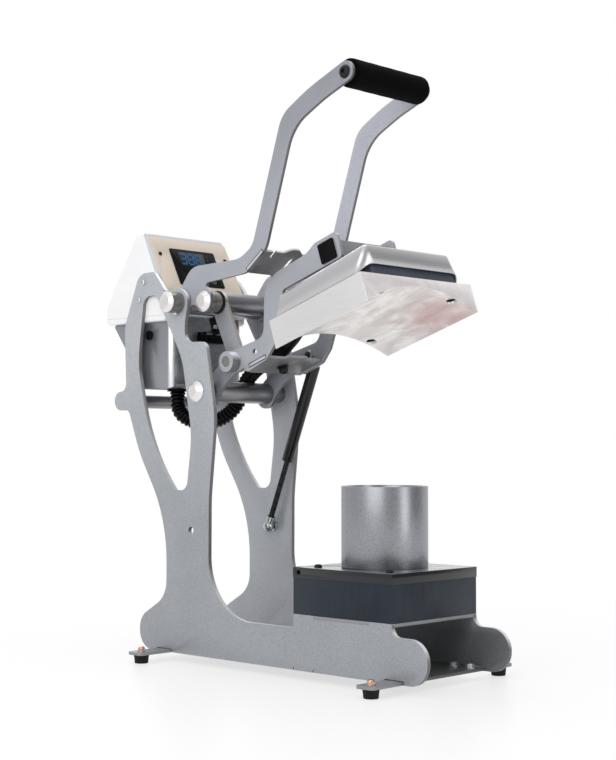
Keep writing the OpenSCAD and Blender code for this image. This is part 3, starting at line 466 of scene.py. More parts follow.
def spring_tube():
    """Black painted cylinder."""
    f = Finish("spring_tube", 0.0, 0.3, Coat_Weight=0.2, Coat_Roughness=0.15, Specular_IOR_Level=0.3)
    fine = f.noise(600, 3)
    f.colour(f.mix(f.span(fine, 0, 1), tint(6, 6, 7), tint(15, 15, 16)))
    f.rough(f.span(f.noise(60, 3), 0.24, 0.4))
    f.bump(fine, 0.05, 0.0002)
    return f.mat


def lamp(name, rgb, strength):
    """Lit segment of the display, a little uneven."""
    f = Finish(name, 0, 0.35, Emission_Strength=strength)
    base = tint(*rgb)
    glow = f.mix(f.span(f.noise(500, 2), 0, 1), shade(base, 0.8), shade(base, 1.15))
    f.colour(f.mix(f.span(f.noise(300, 1), 0, 1), shade(base, 0.5), shade(base, 0.7)))
    f.link(glow, f.skin.inputs["Emission Color"])
    return f.mat


CUT = (112, 111, 113)
BARE_CUT = (150, 135, 118)

MATERIALS = {
    # The far handle and far frame coats are lighter copies of the near ones: painted light on the far
    # plates. The frame is painted lighter above 0.5 m, the handles painted darker near their tops, and
    # the inside of the base gets painted shade.
    "frame": coat("frame_coat", (160, 163, 168), cut=CUT, inside_shade=True, fade=(0.2, 0.5, 1.4)),
    "arm": coat("arm_coat", (172, 174, 182), cut=CUT),
    "handle": coat("handle_coat", (170, 172, 181), cut=CUT, fade=(0.62, 0.78, 0.78)),
    "far_handle": coat("far_handle_painted_light_coat", (198, 200, 210), cut=CUT, fade=(0.66, 0.8, 0.86)),
    "far_frame": coat("far_frame_painted_light_coat", (184, 187, 193), cut=CUT, inside_shade=True),
    "link": coat("link_coat", (160, 162, 168), cut=BARE_CUT),
    "pan": coat("pan_coat", (146, 148, 152), inside_shade=True),
    # The brace coat is darker than the handle coat: painted shade between the handle plates
    "brace": coat("brace_coat_painted_shade", (114, 116, 117), cut=CUT),
    "pipe": coat("pipe_coat", (150, 152, 157), 0.95, 0.34, 0.32),
    "slate": slate_coat(),
    # The lid's crown tone is a painted reflection on its top face
    "lid": coat("lid_coat", (17, 20, 24), 0.0, 0.12, 0.1, crown=(84, 88, 95), Specular_IOR_Level=0.4,
                Coat_Weight=0.25, Coat_Roughness=0.12),
    "shaft": brushed("shaft_steel", (140, 140, 143), "x", 0.36, 1.0, 0.02, 0.03, 0.02),
    "collar": brushed("collar_steel", (142, 140, 135), "x", 0.32),
    "chrome": plated("chrome", (236, 234, 232), 0.28, 0.03),
    "zinc": plated("zinc", (206, 212, 212), 0.26, 0.08),
    "copper": plated("copper_zinc", (208, 170, 152), 0.2),
    # Black screws, washers and strips; also the painted shade in the platen's screw recesses
    "dark_part_and_shade": moulded("black_screw", (26, 26, 28), 0.34, 700, 0.06, 0.6),
    "platen": platen_metal(),
    "cover": brushed("stainless_sheet", (198, 197, 199), "y", 0.36, 1.0, 0.04, 0.04),
    "element": brushed("element_steel", (128, 112, 96), "y", 0.4),
    "insulation": moulded("insulation", (58, 66, 79), 0.6, 500, 0.12),
    "rubber": moulded("rubber", (16, 16, 17), 0.62, 700, 0.2, Specular_IOR_Level=0.25),
    "foam": foam(),
    "plastic": moulded("black_plastic", (8, 8, 9), 0.4, 800, 0.12, Specular_IOR_Level=0.08),
    "hose": moulded("hose_plastic", (4, 4, 5), 0.2, 600, 0.1, Specular_IOR_Level=0.14),
    "console": lacquer("console_paint", (248, 248, 249)),
    # Greyer tone of the console's front rim: painted shade
    "rim": lacquer("rim_painted_shade", (204, 207, 212)),
    "cream": coat("panel_cream", (224, 211, 196), 0.1, 0.36, 0.03),
    "glass": moulded("overlay_black", (6, 6, 7), 0.3, 300, 0.02, Specular_IOR_Level=0.12),
    "board": moulded("board_green", (38, 96, 62), 0.4, 400, 0.1),
    "key": moulded("key_grey", (58, 58, 62), 0.45, 800, 0.1),
    "red": moulded("rocker_red", (170, 42, 34), 0.35, 800, 0.08),
    # Rounded upright corners of the box get a painted highlight
    "box": coat("box_paint", (152, 155, 160), 0.75, 0.3, 0.04, corner_highlight=(244, 245, 248)),
    "tab": coat("tab_steel", (206, 207, 211), 0.5, 0.34, 0.1),
    "spring_rod": spring_rod(),
    "spring_tube": spring_tube(),
    "digit": lamp("digit_blue", (0, 88, 140), 0.45),
    "glow": lamp("display_glow", (0, 14, 26), 0.14),
    "standby": lamp("standby_red", (96, 22, 20), 0.35),
}


# Building in mesh code

KEPT_EDGE = math.radians(32)
BROKEN_EDGE = math.radians(40)


def soft_edges():
    """Smooth shading that keeps the sharper edges."""
    group = bpy.data.node_groups.new("soft_edges", "GeometryNodeTree")
    group.interface.new_socket("Geometry", in_out="INPUT", socket_type="NodeSocketGeometry")
    group.interface.new_socket("Geometry", in_out="OUTPUT", socket_type="NodeSocketGeometry")
    source = group.nodes.new("NodeGroupInput")
    result = group.nodes.new("NodeGroupOutput")
    faces = group.nodes.new("GeometryNodeSetShadeSmooth")
    faces.domain = "FACE"
    faces.inputs["Shade Smooth"].default_value = True
    edges = group.nodes.new("GeometryNodeSetShadeSmooth")
    edges.domain = "EDGE"
    edges.inputs["Shade Smooth"].default_value = False
    angle = group.nodes.new("GeometryNodeInputMeshEdgeAngle")
    sharp = group.nodes.new("FunctionNodeCompare")
    sharp.data_type = "FLOAT"
    sharp.operation = "GREATER_THAN"
    sharp.inputs[1].default_value = KEPT_EDGE
    link = group.links.new
    link(source.outputs[0], faces.inputs["Geometry"])
    link(faces.outputs[0], edges.inputs["Geometry"])
    link(angle.outputs["Unsigned Angle"], sharp.inputs[0])
    link(sharp.outputs[0], edges.inputs["Selection"])
    link(edges.outputs[0], result.inputs[0])
    return group


SOFT = soft_edges()


def dress(name, key, bevel=0.5):
    """Give a CAD node its material, broken edges and smooth shading."""
    obj = nodes[name]
    if not obj.material_slots:
        obj.data.materials.append(MATERIALS[key])
    for slot in obj.material_slots:
        slot.material = MATERIALS[key]
    weld = obj.modifiers.new("weld", "WELD")
    weld.merge_threshold = 1e-6
    if bevel:
        edge = obj.modifiers.new("edge", "BEVEL")
        edge.width = bevel * MM
        edge.segments = 2
        edge.limit_method = "ANGLE"
        edge.angle_limit = BROKEN_EDGE
        edge.use_clamp_overlap = True
        edge.miter_outer = "MITER_ARC"
    soft = obj.modifiers.new("soft", "NODES")
    soft.node_group = SOFT


def along(point, direction, turn=0):
    """Place a form that is drawn upright at a point, with its axis in a direction; sizes in mm."""
    tipped = Vector(direction).to_track_quat("Z", "Y").to_matrix().to_4x4()
    return Matrix.Translation(Vector(point) * MM) @ tipped @ Matrix.Rotation(turn, 4, "Z")


def upright(x, y, z, turn=0):
    return along((x, y, z), (0, 0, 1), turn)


def outward(side, x, spot):
    """A place at [y, z] on a face x from the middle plane, on the left (-1) or the right (1)."""
    return along((side * x, *spot), (side, 0, 0))


def piece(name, mesh, body, replaced, sharp):
    """Bring a mesh into the scene; edges sharper than so many degrees stay sharp."""
    mesh.shade_smooth()
    mesh.set_sharp_from_angle(angle=math.radians(sharp))
    obj = bpy.data.objects.new(name, mesh)
    scene.collection.objects.link(obj)
    if body:
        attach(obj, body)
    if replaced:
        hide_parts(*replaced)
    return obj


class Form:
    """A mesh put together from turned and cut forms, in mm, each with its own material."""

    def __init__(self):
        self.verts, self.faces, self.slots, self.keys = [], [], [], []

    def add(self, verts, faces, key, to=Matrix()):
        if key not in self.keys:
            self.keys.append(key)
        base = len(self.verts)
        self.verts += [to @ (Vector(v) * MM) for v in verts]
        self.faces += [[base + i for i in f] for f in faces]
        self.slots += [self.keys.index(key)] * len(faces)

    def turned(self, profile, key, to=Matrix(), seg=48, hexes=()):
        """Turn [radius, height] pairs about the axis. Rings named in hexes are hexagons."""
        verts, rings = [], []
        for k, (r, h) in enumerate(profile):
            if r == 0:
                rings.append([len(verts)])
                verts.append((0, 0, h))
                continue
            ring = []
            for i in range(seg):
                a = 2 * math.pi * i / seg
                reach = r
                if k in hexes:
                    reach = r / math.cos((a + math.pi / 6) % (math.pi / 3) - math.pi / 6)
                ring.append(len(verts))
                verts.append((reach * math.cos(a), reach * math.sin(a), h))
            rings.append(ring)
        faces = []
        for low, top in zip(rings, rings[1:]):
            for i in range(seg):
                j = (i + 1) % seg
                quad = [low[i % len(low)], low[j % len(low)], top[j % len(top)], top[i % len(top)]]
                quad = [v for n, v in enumerate(quad) if v not in quad[:n]]
                if len(quad) > 2:
                    faces.append(quad)
        self.add(verts, faces, key, to)

    def box(self, size, key, to=Matrix(), bevel=0.6, inset=None):
        """Block on its base centre with rounded edges. inset sinks a panel into the top face: the width
        of its rim, its depth and the radius of the upright corners."""
        bm = bmesh.new()
        bmesh.ops.create_cube(bm, size=1)
        bmesh.ops.scale(bm, vec=size, verts=bm.verts)
        bmesh.ops.translate(bm, vec=(0, 0, size[2] / 2), verts=bm.verts)
        if inset:
            rim, depth, radius = inset
            corners = [e for e in bm.edges if abs(e.verts[0].co.z - e.verts[1].co.z) > size[2] / 2]
            bmesh.ops.bevel(bm, geom=corners, offset=radius, segments=5, profile=0.5, affect="EDGES")
            top = [f for f in bm.faces if f.normal.z > 0.9]
            bmesh.ops.inset_region(bm, faces=top, thickness=rim)
            bmesh.ops.translate(bm, vec=(0, 0, -depth), verts=top[0].verts)
        sharp = [e for e in bm.edges if e.calc_face_angle(0) > 0.6]
        bmesh.ops.bevel(bm, geom=sharp, offset=bevel, segments=2, profile=0.5, affect="EDGES")
        bm.verts.index_update()
        self.add([v.co.copy() for v in bm.verts], [[v.index for v in f.verts] for f in bm.faces], key, to)
        bm.free()

    def make(self, name, body, replaced=(), sharp=34):
        mesh = bpy.data.meshes.new(name)
        mesh.from_pydata([v[:] for v in self.verts], [], self.faces)
        for key in self.keys:
            mesh.materials.append(MATERIALS[key])
        mesh.polygons.foreach_set("material_index", self.slots)
        bm = bmesh.new()
        bm.from_mesh(mesh)
        bmesh.ops.recalc_face_normals(bm, faces=bm.faces)
        bm.to_mesh(mesh)
        bm.free()
        return piece(name, mesh, body, replaced, sharp)


def outline(corners, inset=0.0, steps=8):
    """Points of a polygon with rounded corners [u, v, radius], its sides moved in by inset."""
    spots = [Vector(c[:2]) for c in corners]
    count = len(spots)
    spin = 1 if sum(a.cross(b) for a, b in zip(spots, spots[1:] + spots[:1])) > 0 else -1
    ring = []
    for i, p in enumerate(spots):
        u = (p - spots[i - 1]).normalized()
        v = (spots[(i + 1) % count] - p).normalized()
        inward = Vector((-u.y, u.x)) * spin
        other = Vector((-v.y, v.x)) * spin
        r = max(corners[i][2] - inset, 0.02)
        mid = p + (inward + other) * (inset + r) / (1 + inward.dot(other))
        turn = math.atan2(u.cross(v), u.dot(v))
        for k in range(steps + 1):
            c, d = math.cos(turn * k / steps), math.sin(turn * k / steps)
            out = Vector((inward.x * c - inward.y * d, inward.x * d + inward.y * c))
            ring.append(mid - out * r)
    return ring


def skin(rings, low_end=False, top_end=False):
    """Mesh in metres stretched over rings of points in mm."""
    bm = bmesh.new()
    rows = [[bm.verts.new(Vector(p) * MM) for p in ring] for ring in rings]
    for low, top in zip(rows, rows[1:]):
        for i in range(len(low)):
            j = (i + 1) % len(low)
            bm.faces.new((low[i], low[j], top[j], top[i]))
    if low_end:
        bm.faces.new(rows[0][::-1])
    if top_end:
        bm.faces.new(rows[-1])
    bmesh.ops.remove_doubles(bm, verts=bm.verts, dist=1e-6)
    bmesh.ops.recalc_face_normals(bm, faces=bm.faces)
    return bm


def finish_skin(bm, name, key, body, replaced, sharp=30):
    mesh = bpy.data.meshes.new(name)
    bm.to_mesh(mesh)
    bm.free()
    mesh.materials.append(MATERIALS[key])
    return piece(name, mesh, body, (replaced,), sharp)


def button(form, key, d, h, to, socket=None):
    """Domed screw head with a hexagon socket."""
    r = d / 2
    s = socket or 0.19 * d
    form.turned([
        (r * 0.96, 0), (r, h * 0.1), (r * 0.985, h * 0.3), (r * 0.9, h * 0.6), (r * 0.74, h * 0.86),
        (r * 0.6, h), (s * 1.16, h), (s, h * 0.93), (s, h * 0.35), (0, h * 0.3)
    ], key, to, 36, hexes=(7, 8))


def acorn(form, key, af, to):
    """Washer, hexagon and dome."""
    r = af / 2
    form.turned([(r * 1.25, 0), (r * 1.28, 0.5), (r * 1.22, 1.1), (r * 0.9, 1.15)], key, to, 36)
    form.turned([(r, 1.1), (r, 4.2), (r * 0.97, 4.5)], key, to, 36, hexes=(0, 1))
    form.turned([(r * 0.97, 4.5), (r * 0.9, 5.4), (r * 0.66, 6.5), (r * 0.35, 7), (0, 7)], key, to, 36)


def hexagon(form, key, af, h, to, washer=0):
    """Nut or bolt head, on a washer where its width is given."""
    r = af / 2
    if washer:
        rim, thick = washer / 2, 1.2
        form.turned([(0, 0), (rim, 0), (rim, thick - 0.2), (rim - 0.3, thick), (0, thick)], key, to, 36)
        to = to @ Matrix.Translation((0, 0, thick * MM))
    form.turned([(0, 0), (r, 0), (r, h * 0.88), (r * 0.93, h), (0, h)], key, to, 36, hexes=(1, 2))


# Shared places, in mm: shafts and tubes [y, z], outer faces, slopes [y, z] with their angle

HANDLE_SHAFT, TOGGLE_SHAFT = (144, 509), (97.0003, 508.838)
GRIP = (-173.4, 789.6)
CROSS_TUBE = (-169.5, 481)
COLLAR_FACE, STAND_FACE, HANDLE_FACE, ARM_FACE = 106.0, 85.5, 78.5, 58.5
BRACE, BRACE_ANGLE = (8.4, 547), math.radians(142.6)
PLATFORM, PLATFORM_ANGLE = (38, 389), math.radians(179)
PEDESTAL_Y = -172
COVER_REAR = -92
PANEL_FOOT = Vector((0, 179, 530.5))
TILT = math.radians(63.6)
PANEL = Matrix.Translation(PANEL_FOOT * MM) @ Matrix.Rotation(TILT, 4, "X")


def on_panel(x, up, out=0):
    return PANEL @ Matrix.Translation(Vector((x, up, out)) * MM)


def on_slope(foot, angle, reach):
    """The point [y, z] so far along a slope."""
    return foot[0] + reach * math.cos(angle), foot[1] + reach * math.sin(angle)


# Ribbed hose from the power box to the platen; its front part is described closed like the arm

HOSE_BACK = (
    (-33, 203, 385), (-33, 203, 373), (-32, 202, 361), (-29, 196, 350), (-21, 183, 342), (-10, 168, 339),
    (3, 154, 343), (16, 144, 353), (26, 138, 367), (32, 135, 383), (35, 128, 399), (36, 115, 412),
    (34, 98, 421), (29, 78, 427), (20, 55, 432), (9, 31, 439)
)
HOSE_FRONT = (
    (-3, -8, 413.6), (-12, -30, 415), (-18, -46, 418.4), (-21, -60, 425), (-22, -73, 431.4),
    (-22, -84, 434), (-22, -91.6, 434)
)


def smooth_line(route, steps=24):
    """Points of a curve that passes through every point of a route."""
    line = []
    last = len(route) - 1
    for i in range(last):
        a, b, c, d = route[max(i - 1, 0)], route[i], route[i + 1], route[min(i + 2, last)]
        for k in range(steps):
            t = k / steps
            line.append((2 * b + (c - a) * t + (2 * a - 5 * b + 4 * c - d) * t * t
                         + (3 * b - a - 3 * c + d) * t ** 3) / 2)
    line.append(route[-1])
    return line


def hose():
    route = [Vector(p) * MM for p in HOSE_BACK] + [LIFT @ (Vector(p) * MM) for p in HOSE_FRONT]
    line = smooth_line(route)
    runs = [0.0]
    for p, q in zip(line, line[1:]):
        runs.append(runs[-1] + (q - p).length)
    length = runs[-1]
    ribs, cuts, seg = 70, 8, 24
    root, rise = 9.7, 1.8
    verts, faces, path = [], [], []
    k = 0
    total = ribs * cuts
    for n in range(total + 1):
        s = length * n / total
        while k < len(runs) - 2 and runs[k + 1] < s:
            k += 1
        mid = line[k].lerp(line[k + 1], (s - runs[k]) / (runs[k + 1] - runs[k]))
        ahead = (line[min(k + 2, len(line) - 1)] - line[max(k - 1, 0)]).normalized()
        u = ahead.cross(Vector((1, 0, 0))).normalized()
        v = ahead.cross(u)
        wave = 0.5 + 0.5 * math.cos(2 * math.pi * (n / cuts - 0.5))
        r = (root + rise * wave ** 0.6) * MM
        path.append(mid)
        for i in range(seg):
            a = 2 * math.pi * i / seg
            verts.append(mid + r * (math.cos(a) * u + math.sin(a) * v))
    for n in range(total):
        for i in range(seg):
            j = (i + 1) % seg
            faces.append([n * seg + i, n * seg + j, (n + 1) * seg + j, (n + 1) * seg + i])
    faces.append(list(range(seg))[::-1])
    faces.append([total * seg + i for i in range(seg)])
    form = Form()
    form.add([v / MM for v in verts], faces, "hose")
    obj = form.make("hose", None, ("conduit",), 60)
    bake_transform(obj)


hose()


# Grip and shaft caps

def grip():
    form = Form()
    half = 73.1
    end = [(11, 0), (15.8, 0), (17.8, 0.7), (18.8, 2.5), (19.2, 5.3)]
    profile = [(r, deep - half) for r, deep in end]
    profile += [(19.1 + 0.1 * math.cos(x * 0.21), x) for x in range(-64, 65, 4)]
    profile += [(r, half - deep) for r, deep in end[::-1]]
    form.turned(profile, "foam", along((0, *GRIP), (1, 0, 0)), 64)
    obj = form.make("grip_sleeve", "handle", ("grip_foam",), 60)
    form = Form()
    for side in (-1, 1):
        button(form, "dark_part_and_shade", 17.8, 4.2, outward(side, HANDLE_FACE, GRIP), 2.7)
    form.make("grip_screws", "handle", ("grip_bolts",))


def caps(name, body, node, places):
    """Bevelled caps on both ends of shafts: centre, inner face, height and nose radius of each."""
    rim = 15
    form = Form()
    for spot, x, h, nose in places:
        profile = [
            (rim - 0.3, 0), (rim, 0.3), (rim, 0.9), (rim - 0.1, 1.1),
            (nose + 0.12, h - 0.1), (nose - 0.1, h), (nose * 0.5, h), (0, h)
        ]
        for side in (-1, 1):
            form.turned(profile, "chrome", outward(side, x, spot), 64)
    form.make(name, body, (node,), 15)


grip()
caps("bright_caps", "stand", "shaft_caps",
     [(HANDLE_SHAFT, COLLAR_FACE, 5.6, 10), (ARM_SHAFT, STAND_FACE, 7.6, 8)])
caps("bright_toggle_caps", "handle", "toggle_caps", [(TOGGLE_SHAFT, HANDLE_FACE, 6.4, 9)])


# Feet, bolts and screws of the stand

FEET = [(x, y) for x in (-128, 128) for y in (-260.5, 170)]
PAN_BOLTS = [(x, y) for x in (-66, 66) for y in (-262, -236, 120)]
PAN_TOP, LID_TOP = 16, 146.3


def feet():
    form = Form()
    for x, y in FEET:
        form.turned([
            (0, 1.2), (5.4, 1.2), (6, 0), (8.9, 0), (9.5, 0.6), (9.9, 5), (10.5, 9.8), (10.95, 10.6),
            (11, 11.3), (10.7, 12), (0, 12)
        ], "rubber", upright(x, y, 0))
    form.make("rubber_foot_set", "stand", ("rubber_feet",))
    form = Form()
    for x, y in FEET:
        acorn(form, "copper", 10, upright(x, y, PAN_TOP, 0.3))
    for x, y in PAN_BOLTS:
        hexagon(form, "zinc", 10.5, 5, upright(x, y, PAN_TOP, 0.5), 14)
    form.make("foot_nuts", "stand", ("base_bolts",))


def stand_screws():
    form = Form()
    for y in (-62, 62):
        button(form, "dark_part_and_shade", 10.8, 3.2, upright(-62, PEDESTAL_Y + y, LID_TOP, y))
    form.make("lid_screw_heads", "stand", ("lid_screws",))
    form = Form()
    for side in (-1, 1):
        for spot in ((220, 543.5), (229, 518)):
            button(form, "zinc", 8.3, 3, outward(side, STAND_FACE, spot))
    form.make("console_screw_heads", "stand", ("console_bolts",))
    form = Form()
    for x in (-65, 65):
        button(form, "dark_part_and_shade", 6.3, 1.9, on_panel(x, 63))
    form.make("panel_screw_heads", "stand", ("panel_screws",))


def switch_strip():
    """Black strip with a screw beside the limit switch."""
    form = Form()
    tipped = Matrix.Translation(Vector((15.5, 171.9, 470)) * MM) @ Matrix.Rotation(-0.33, 4, "Y")
    form.box((10, 1.4, 27), "dark_part_and_shade", tipped, 0.3)
    button(form, "zinc", 7.4, 1.8, along((12, 171.2, 480.5), (0, -1, 0), 0.4))
    form.make("switch_strip", "stand")


feet()
stand_screws()
switch_strip()


# Console display

SEGMENTS = {"3": "abgcd", "8": "abcdefg"}


def display():
    form = Form()
    tall, wide, bar, gap, lean, pitch = 17.0, 10.2, 2.3, 1.3, 0.08, 14.6
    middle = tall / 2
    strokes = {
        "a": ((0, tall), (wide, tall)), "g": ((0, middle), (wide, middle)), "d": ((0, 0), (wide, 0)),
        "f": ((0, middle), (0, tall)), "e": ((0, 0), (0, middle)),
        "b": ((wide, middle), (wide, tall)), "c": ((wide, 0), (wide, middle))
    }
    faces = [[6, 7, 8, 9, 10, 11], [5, 4, 3, 2, 1, 0]]
    faces += [[i, (i + 1) % 6, 6 + (i + 1) % 6, 6 + i] for i in range(6)]
    for n, digit in enumerate("388"):
        for s in SEGMENTS[digit]:
            p, q = [Vector((x + lean * y, y)) for x, y in strokes[s]]
            u = (q - p).normalized()
            p, q = p + u * gap, q - u * gap
            v = Vector((-u.y, u.x)) * bar / 2
            tip = u * bar / 2
            ring = [p - tip * 0.6, p + v, q + v, q + tip * 0.6, q - v, p - v][::-1]
            verts = [(c.x, c.y, h) for h in (0, 0.12) for c in ring]
            form.add(verts, faces, "digit", on_panel(-27.5 + pitch * n, 49.5, 0.9))
    form.box((50, 23.5, 0.06), "glow", on_panel(-4, 58, 0.82), 0.02)
    form.make("display_digits", "stand")
    form = Form()
    for up in (66, 60):
        form.turned([(1.2, 0), (1.2, 0.1), (0.9, 0.25), (0, 0.3)], "standby", on_panel(27, up, 0.8), 20)
    form.make("display_lamps", "stand")


display()


# Console case: rounded ends, narrower towards the top, seams behind the front rim and above the flange

def console_case():
    side = [
        (178, 486, 6), (174.8, 516, 12), (225.9, 619, 6), (249, 618, 10), (314, 510, 22), (314, 486, 6)
    ]
    half, soft, cuts = 79.5, 3.0, 5
    waist, taper = 540, 4 / 85
    rim, flange = 9, 494.5
    groove, groove_half = 1.2, 0.7
    rings = []
    for end in (-1, 1):
        for k in range(cuts + 1)[::-end]:
            a = math.pi / 2 * k / cuts
            x = end * (half - soft * (1 - math.cos(a)))
            rings.append([(x, y, z) for y, z in outline(side, soft * (1 - math.sin(a)))])
    bm = skin(rings, True, True)

    def cut(point, normal):
        """Cut the skin through a plane; the new points."""
        geom = bm.verts[:] + bm.edges[:] + bm.faces[:]
        found = bmesh.ops.bisect_plane(bm, geom=geom, plane_co=Vector(point) * MM, plane_no=normal)
        return [v for v in found["geom_cut"] if isinstance(v, bmesh.types.BMVert)]

    up = Vector((0, 0, 1))
    back = Vector((0, math.sin(TILT), -math.cos(TILT)))
    cut(up * waist, up)
    seams = []
    for point, normal, deep in ((PANEL_FOOT, back, rim), (Vector(), up, flange)):
        for shift in (-groove_half, groove_half):
            cut(point + normal * (deep + shift), normal)
        seams += cut(point + normal * deep, normal)
    for v in bm.verts:
        v.co.x *= 1 - max(0, v.co.z / MM - waist) * taper / half
    bm.normal_update()
    for v, n in [(v, v.normal.copy()) for v in seams]:
        v.co -= n * groove * MM
    bmesh.ops.recalc_face_normals(bm, faces=bm.faces)
    # The front 9 mm of the case are greyer: painted shade of the rim band
    for face in bm.faces:
        face.material_index = int((face.calc_center_median() / MM - PANEL_FOOT).dot(back) < rim)
    obj = finish_skin(bm, "console_case", "console", "stand", "console_shell", 28)
    obj.data.materials.append(MATERIALS["rim"])


console_case()


# Platen cover: folded sheet with rounded bends, its front edge above that of its sides

def cover():
    top, foot, thick = 450, 416, 1.5
    slope = math.tan(math.radians(1.4))
    bend_down, bend_in, bend_cuts = 5.5, 4.9, 8
    front, front_run, front_rise = -242, 14, 8.5
    crown = [(-84, COVER_REAR, 1), (-84, -253, 5), (84, -253, 5), (84, COVER_REAR, 1)]
    low = [(-102, COVER_REAR, 1), (-102, -259, 26), (102, -259, 26), (102, COVER_REAR, 1)]

    def on_top(inset):
        return [Vector((x, y, top + (COVER_REAR - y) * slope)) for x, y in outline(crown, inset, 10)]

    skirt = [Vector((x, y, foot)) for x, y in outline(low, 0, 10)]
    ridge, inner = on_top(0), on_top(bend_in)
    hem = []
    for a, b in zip(skirt, ridge):
        raised = front_rise * min(1, max(0, (front - a.y) / front_run))
        hem.append(a.lerp(b, raised / (b.z - a.z)))
    rings = [hem]
    for k in range(bend_cuts + 1):
        t = k / bend_cuts
        rings.append([
            (b + (a - b).normalized() * bend_down) * (1 - t) ** 2 + b * 2 * t * (1 - t) + c * t * t
            for a, b, c in zip(skirt, ridge, inner)
        ])
    bm = skin(rings, False, True)
    bm.transform(LIFT)
    obj = finish_skin(bm, "sheet_cover", "cover", "carrier", "platen_cover")
    sheet = obj.modifiers.new("sheet", "SOLIDIFY")
    sheet.thickness = thick * MM
    sheet.offset = -1
    form = Form()
    form.turned([
        (11.8, 0), (15.4, 0), (16, 0.6), (16, 2.6), (15.2, 3.8), (13.4, 4.4), (12, 4.2), (11.8, 3.4)
    ], "rubber", LIFT @ along((-22, COVER_REAR, 434), (0, 1, 0)), 48)
    form.make("hose_grommet", "carrier")


cover()


# Fasteners and plugs of the arm

def arm_fasteners():
    form = Form()
    # Studs from the platen to the cross tube
    tube_y = CROSS_TUBE[0]
    stud_low, stud_top, nut_z = 411, 468.4, 452.4
    for x in (-30, 30):
        form.turned([(4, stud_low), (4, stud_top)], "zinc", LIFT @ upright(x, tube_y, 0), 24)
        hexagon(form, "zinc", 13, 6.5, LIFT @ upright(x, tube_y, nut_z), 18)
    # Bolt through the platform
    half_plate = 2
    up = Vector((0, -math.sin(PLATFORM_ANGLE), math.cos(PLATFORM_ANGLE)))
    middle = Vector((0, *on_slope(PLATFORM, PLATFORM_ANGLE, 27)))
    under = LIFT @ along(middle + up * half_plate, up)
    form.turned([(0, 0), (8.5, 0), (8.5, 1.2), (8.2, 1.5), (6.6, 1.5)], "dark_part_and_shade", under, 36)
    form.turned([
        (6.4, 1.5), (6.5, 2), (6.5, 8.6), (6.1, 9.3), (4.4, 9.5), (3.6, 9.3), (3.6, 5), (0, 4.8)
    ], "dark_part_and_shade", under, 36, hexes=(5, 6))
    hexagon(form, "zinc", 13, 6.5, LIFT @ along(middle - up * half_plate, -up))
    # Upper ball stud of the gas spring
    ball_r, stud_r, stud_end = 5.5, 3.3, 14.5
    spot = (14.2, 435)
    arc = [math.radians(d) for d in range(-90, 50, 10)]
    profile = [(max(ball_r * math.cos(a), 0), ball_r * math.sin(a)) for a in arc]
    profile += [(stud_r, 4.6), (stud_r, stud_end)]
    form.turned(profile, "zinc", along((68, *spot), (-1, 0, 0)), 32)
    hexagon(form, "zinc", 12.2, 6, along((68 - stud_end, *spot), (-1, 0, 0), 0.4))
    form.make("arm_fasteners", "carrier", ("arm_bolts",))


def arm_plugs():
    form = Form()
    flange, core, deep = 28, 20.9, 10
    for side in (-1, 1):
        face = LIFT @ outward(side, ARM_FACE, CROSS_TUBE)
        form.box((flange, flange, 3), "plastic", face, 0.7, (3.4, 0.7, 2.6))
        inside = LIFT @ outward(side, ARM_FACE - deep, CROSS_TUBE)
        form.box((core, core, deep), "plastic", inside, 0.8)
    form.make("tube_end_plugs", "carrier", ("tube_plugs",))
    form = Form()
    boss_face, boss = 72.5, (46.2, 405)
    for side in (-1, 1):
        form.turned([
            (0, 0), (7.2, 0), (7.2, 0.4), (6.8, 0.7), (1.4, 0.75), (0.9, 0.3), (0, 0.25)
        ], "collar", LIFT @ outward(side, boss_face, boss), 40)
    form.make("boss_plugs", "carrier")


def recess_shade_linings():
    """Painted shade: dark linings on the walls of the recesses in the platen's hollow face."""
    half, low, depth = 112, 371, 28
    reach_x, reach_y = 73, 75
    bow = (half ** 2 + depth ** 2) / (2 * depth)
    hollow = low + depth - bow + math.sqrt(bow ** 2 - reach_x ** 2)
    form = Form()
    for x in (-reach_x, reach_x):
        for y in (-reach_y, reach_y):
            form.turned([(6.66, 2), (6.66, 8.9), (5.6, 8.9)], "dark_part_and_shade",
                        LIFT @ upright(x, PEDESTAL_Y + y, hollow), 40)
    form.make("recess_shade_linings", "carrier")


arm_fasteners()
arm_plugs()
recess_shade_linings()


# Ends of the tabs that sit in slots of the plates

def on_side(side, x, spot, angle):
    """A place on an upright face: its first axis along an angle in the side view, its third outwards."""
    first = Vector((0, math.cos(angle), math.sin(angle)))
    third = Vector((side, 0, 0))
    second = third.cross(first)
    turn = Matrix((first, second, third)).transposed().to_4x4()
    return Matrix.Translation(Vector((side * x, *spot)) * MM) @ turn


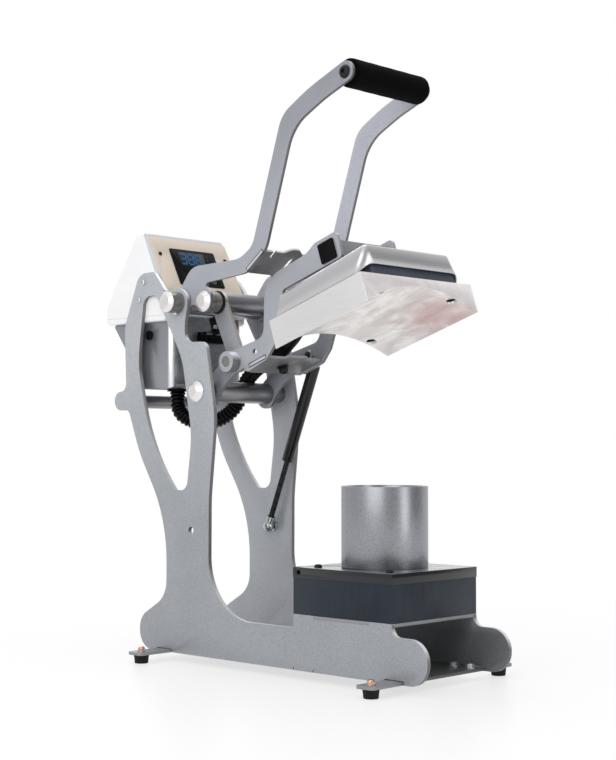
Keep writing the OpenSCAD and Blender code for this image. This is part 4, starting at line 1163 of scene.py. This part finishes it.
def tab_ends():
    """Bright ends in a dark joint, those of the pan in the tone of the plates."""
    thick, joint = 3.6, 2.4
    for name, body, x, foot, angle, reach, long, lift in (
        ("brace_tab_ends", "handle", HANDLE_FACE, BRACE, BRACE_ANGLE, 18.85, 37.3, Matrix()),
        ("platform_tab_ends", "carrier", ARM_FACE, PLATFORM, PLATFORM_ANGLE, 37, 33.6, LIFT),
    ):
        form = Form()
        for side in (-1, 1):
            place = lift @ on_side(side, x, on_slope(foot, angle, reach), angle)
            form.box((long + joint, thick + joint, 0.15), "dark_part_and_shade", place, 0.05)
            form.box((long, thick, 0.5), "tab", place, 0.2)
        form.make(name, body)
    form = Form()
    for side in (-1, 1):
        form.box((33.8, 3.2, 0.4), "frame", on_side(side, STAND_FACE, (-105.5, 14), 0), 0.2)
    form.make("pan_tab_ends", "stand")


tab_ends()


# Materials of the carried-over nodes, with the width of their broken edges

for node, key, bevel in (
    ("side_plate_left", "frame", 0.6), ("side_plate_right", "far_frame", 0.6), ("base_pan", "pan", 0.5),
    ("deck_plate", "pan", 0.5), ("base_block", "slate", 0.5), ("block_lid", "lid", 0.8),
    ("pedestal_tube", "pipe", 0.7), ("pedestal_bolt", "zinc", 0.4), ("handle_shaft", "shaft", 0.4),
    ("shaft_collars", "collar", 0.4), ("collar_screws", "zinc", 0.4), ("arm_shaft", "shaft", 0.4),
    ("rear_cross_bar", "shaft", 0.4), ("power_box", "box", 1.6), ("box_fittings", "plastic", 0.6),
    ("limit_switch", "plastic", 0.4), ("switch_lever", "dark_part_and_shade", 0.2),
    ("console_panel", "cream", 0.9), ("display_overlay", "glass", 0.2), ("control_board", "board", 0.2),
    ("key_left", "key", 0.25), ("key_middle", "key", 0.25), ("key_right", "key", 0.25),
    ("power_inlet", "plastic", 0.4), ("power_rocker", "red", 0.4), ("spring_stud_lower", "zinc", 0.3),
    ("handle_plate_left", "handle", 0.6), ("handle_plate_right", "far_handle", 0.6),
    ("handle_brace", "brace", 0.5), ("grip_rod", "shaft", 0.4), ("toggle_shaft", "shaft", 0.4),
    ("toggle_spacers", "collar", 0.4), ("toggle_washers", "rubber", 0.3), ("link_left", "link", 0.5),
    ("link_right", "link", 0.5), ("arm_plate_left", "arm", 0.6), ("arm_plate_right", "arm", 0.6),
    ("platform", "arm", 0.5), ("pivot_tube", "shaft", 0.4), ("cross_tube", "pan", 0.4),
    ("heat_platen", "platen", 0.7), ("heating_element", "element", 0.3),
    ("insulation_block", "insulation", 0.5), ("platen_screws", "zinc", 0.2),
    ("gas_rod", "spring_rod", 0.3), ("gas_cylinder", "spring_tube", 0.5),
):
    dress(node, key, bevel)
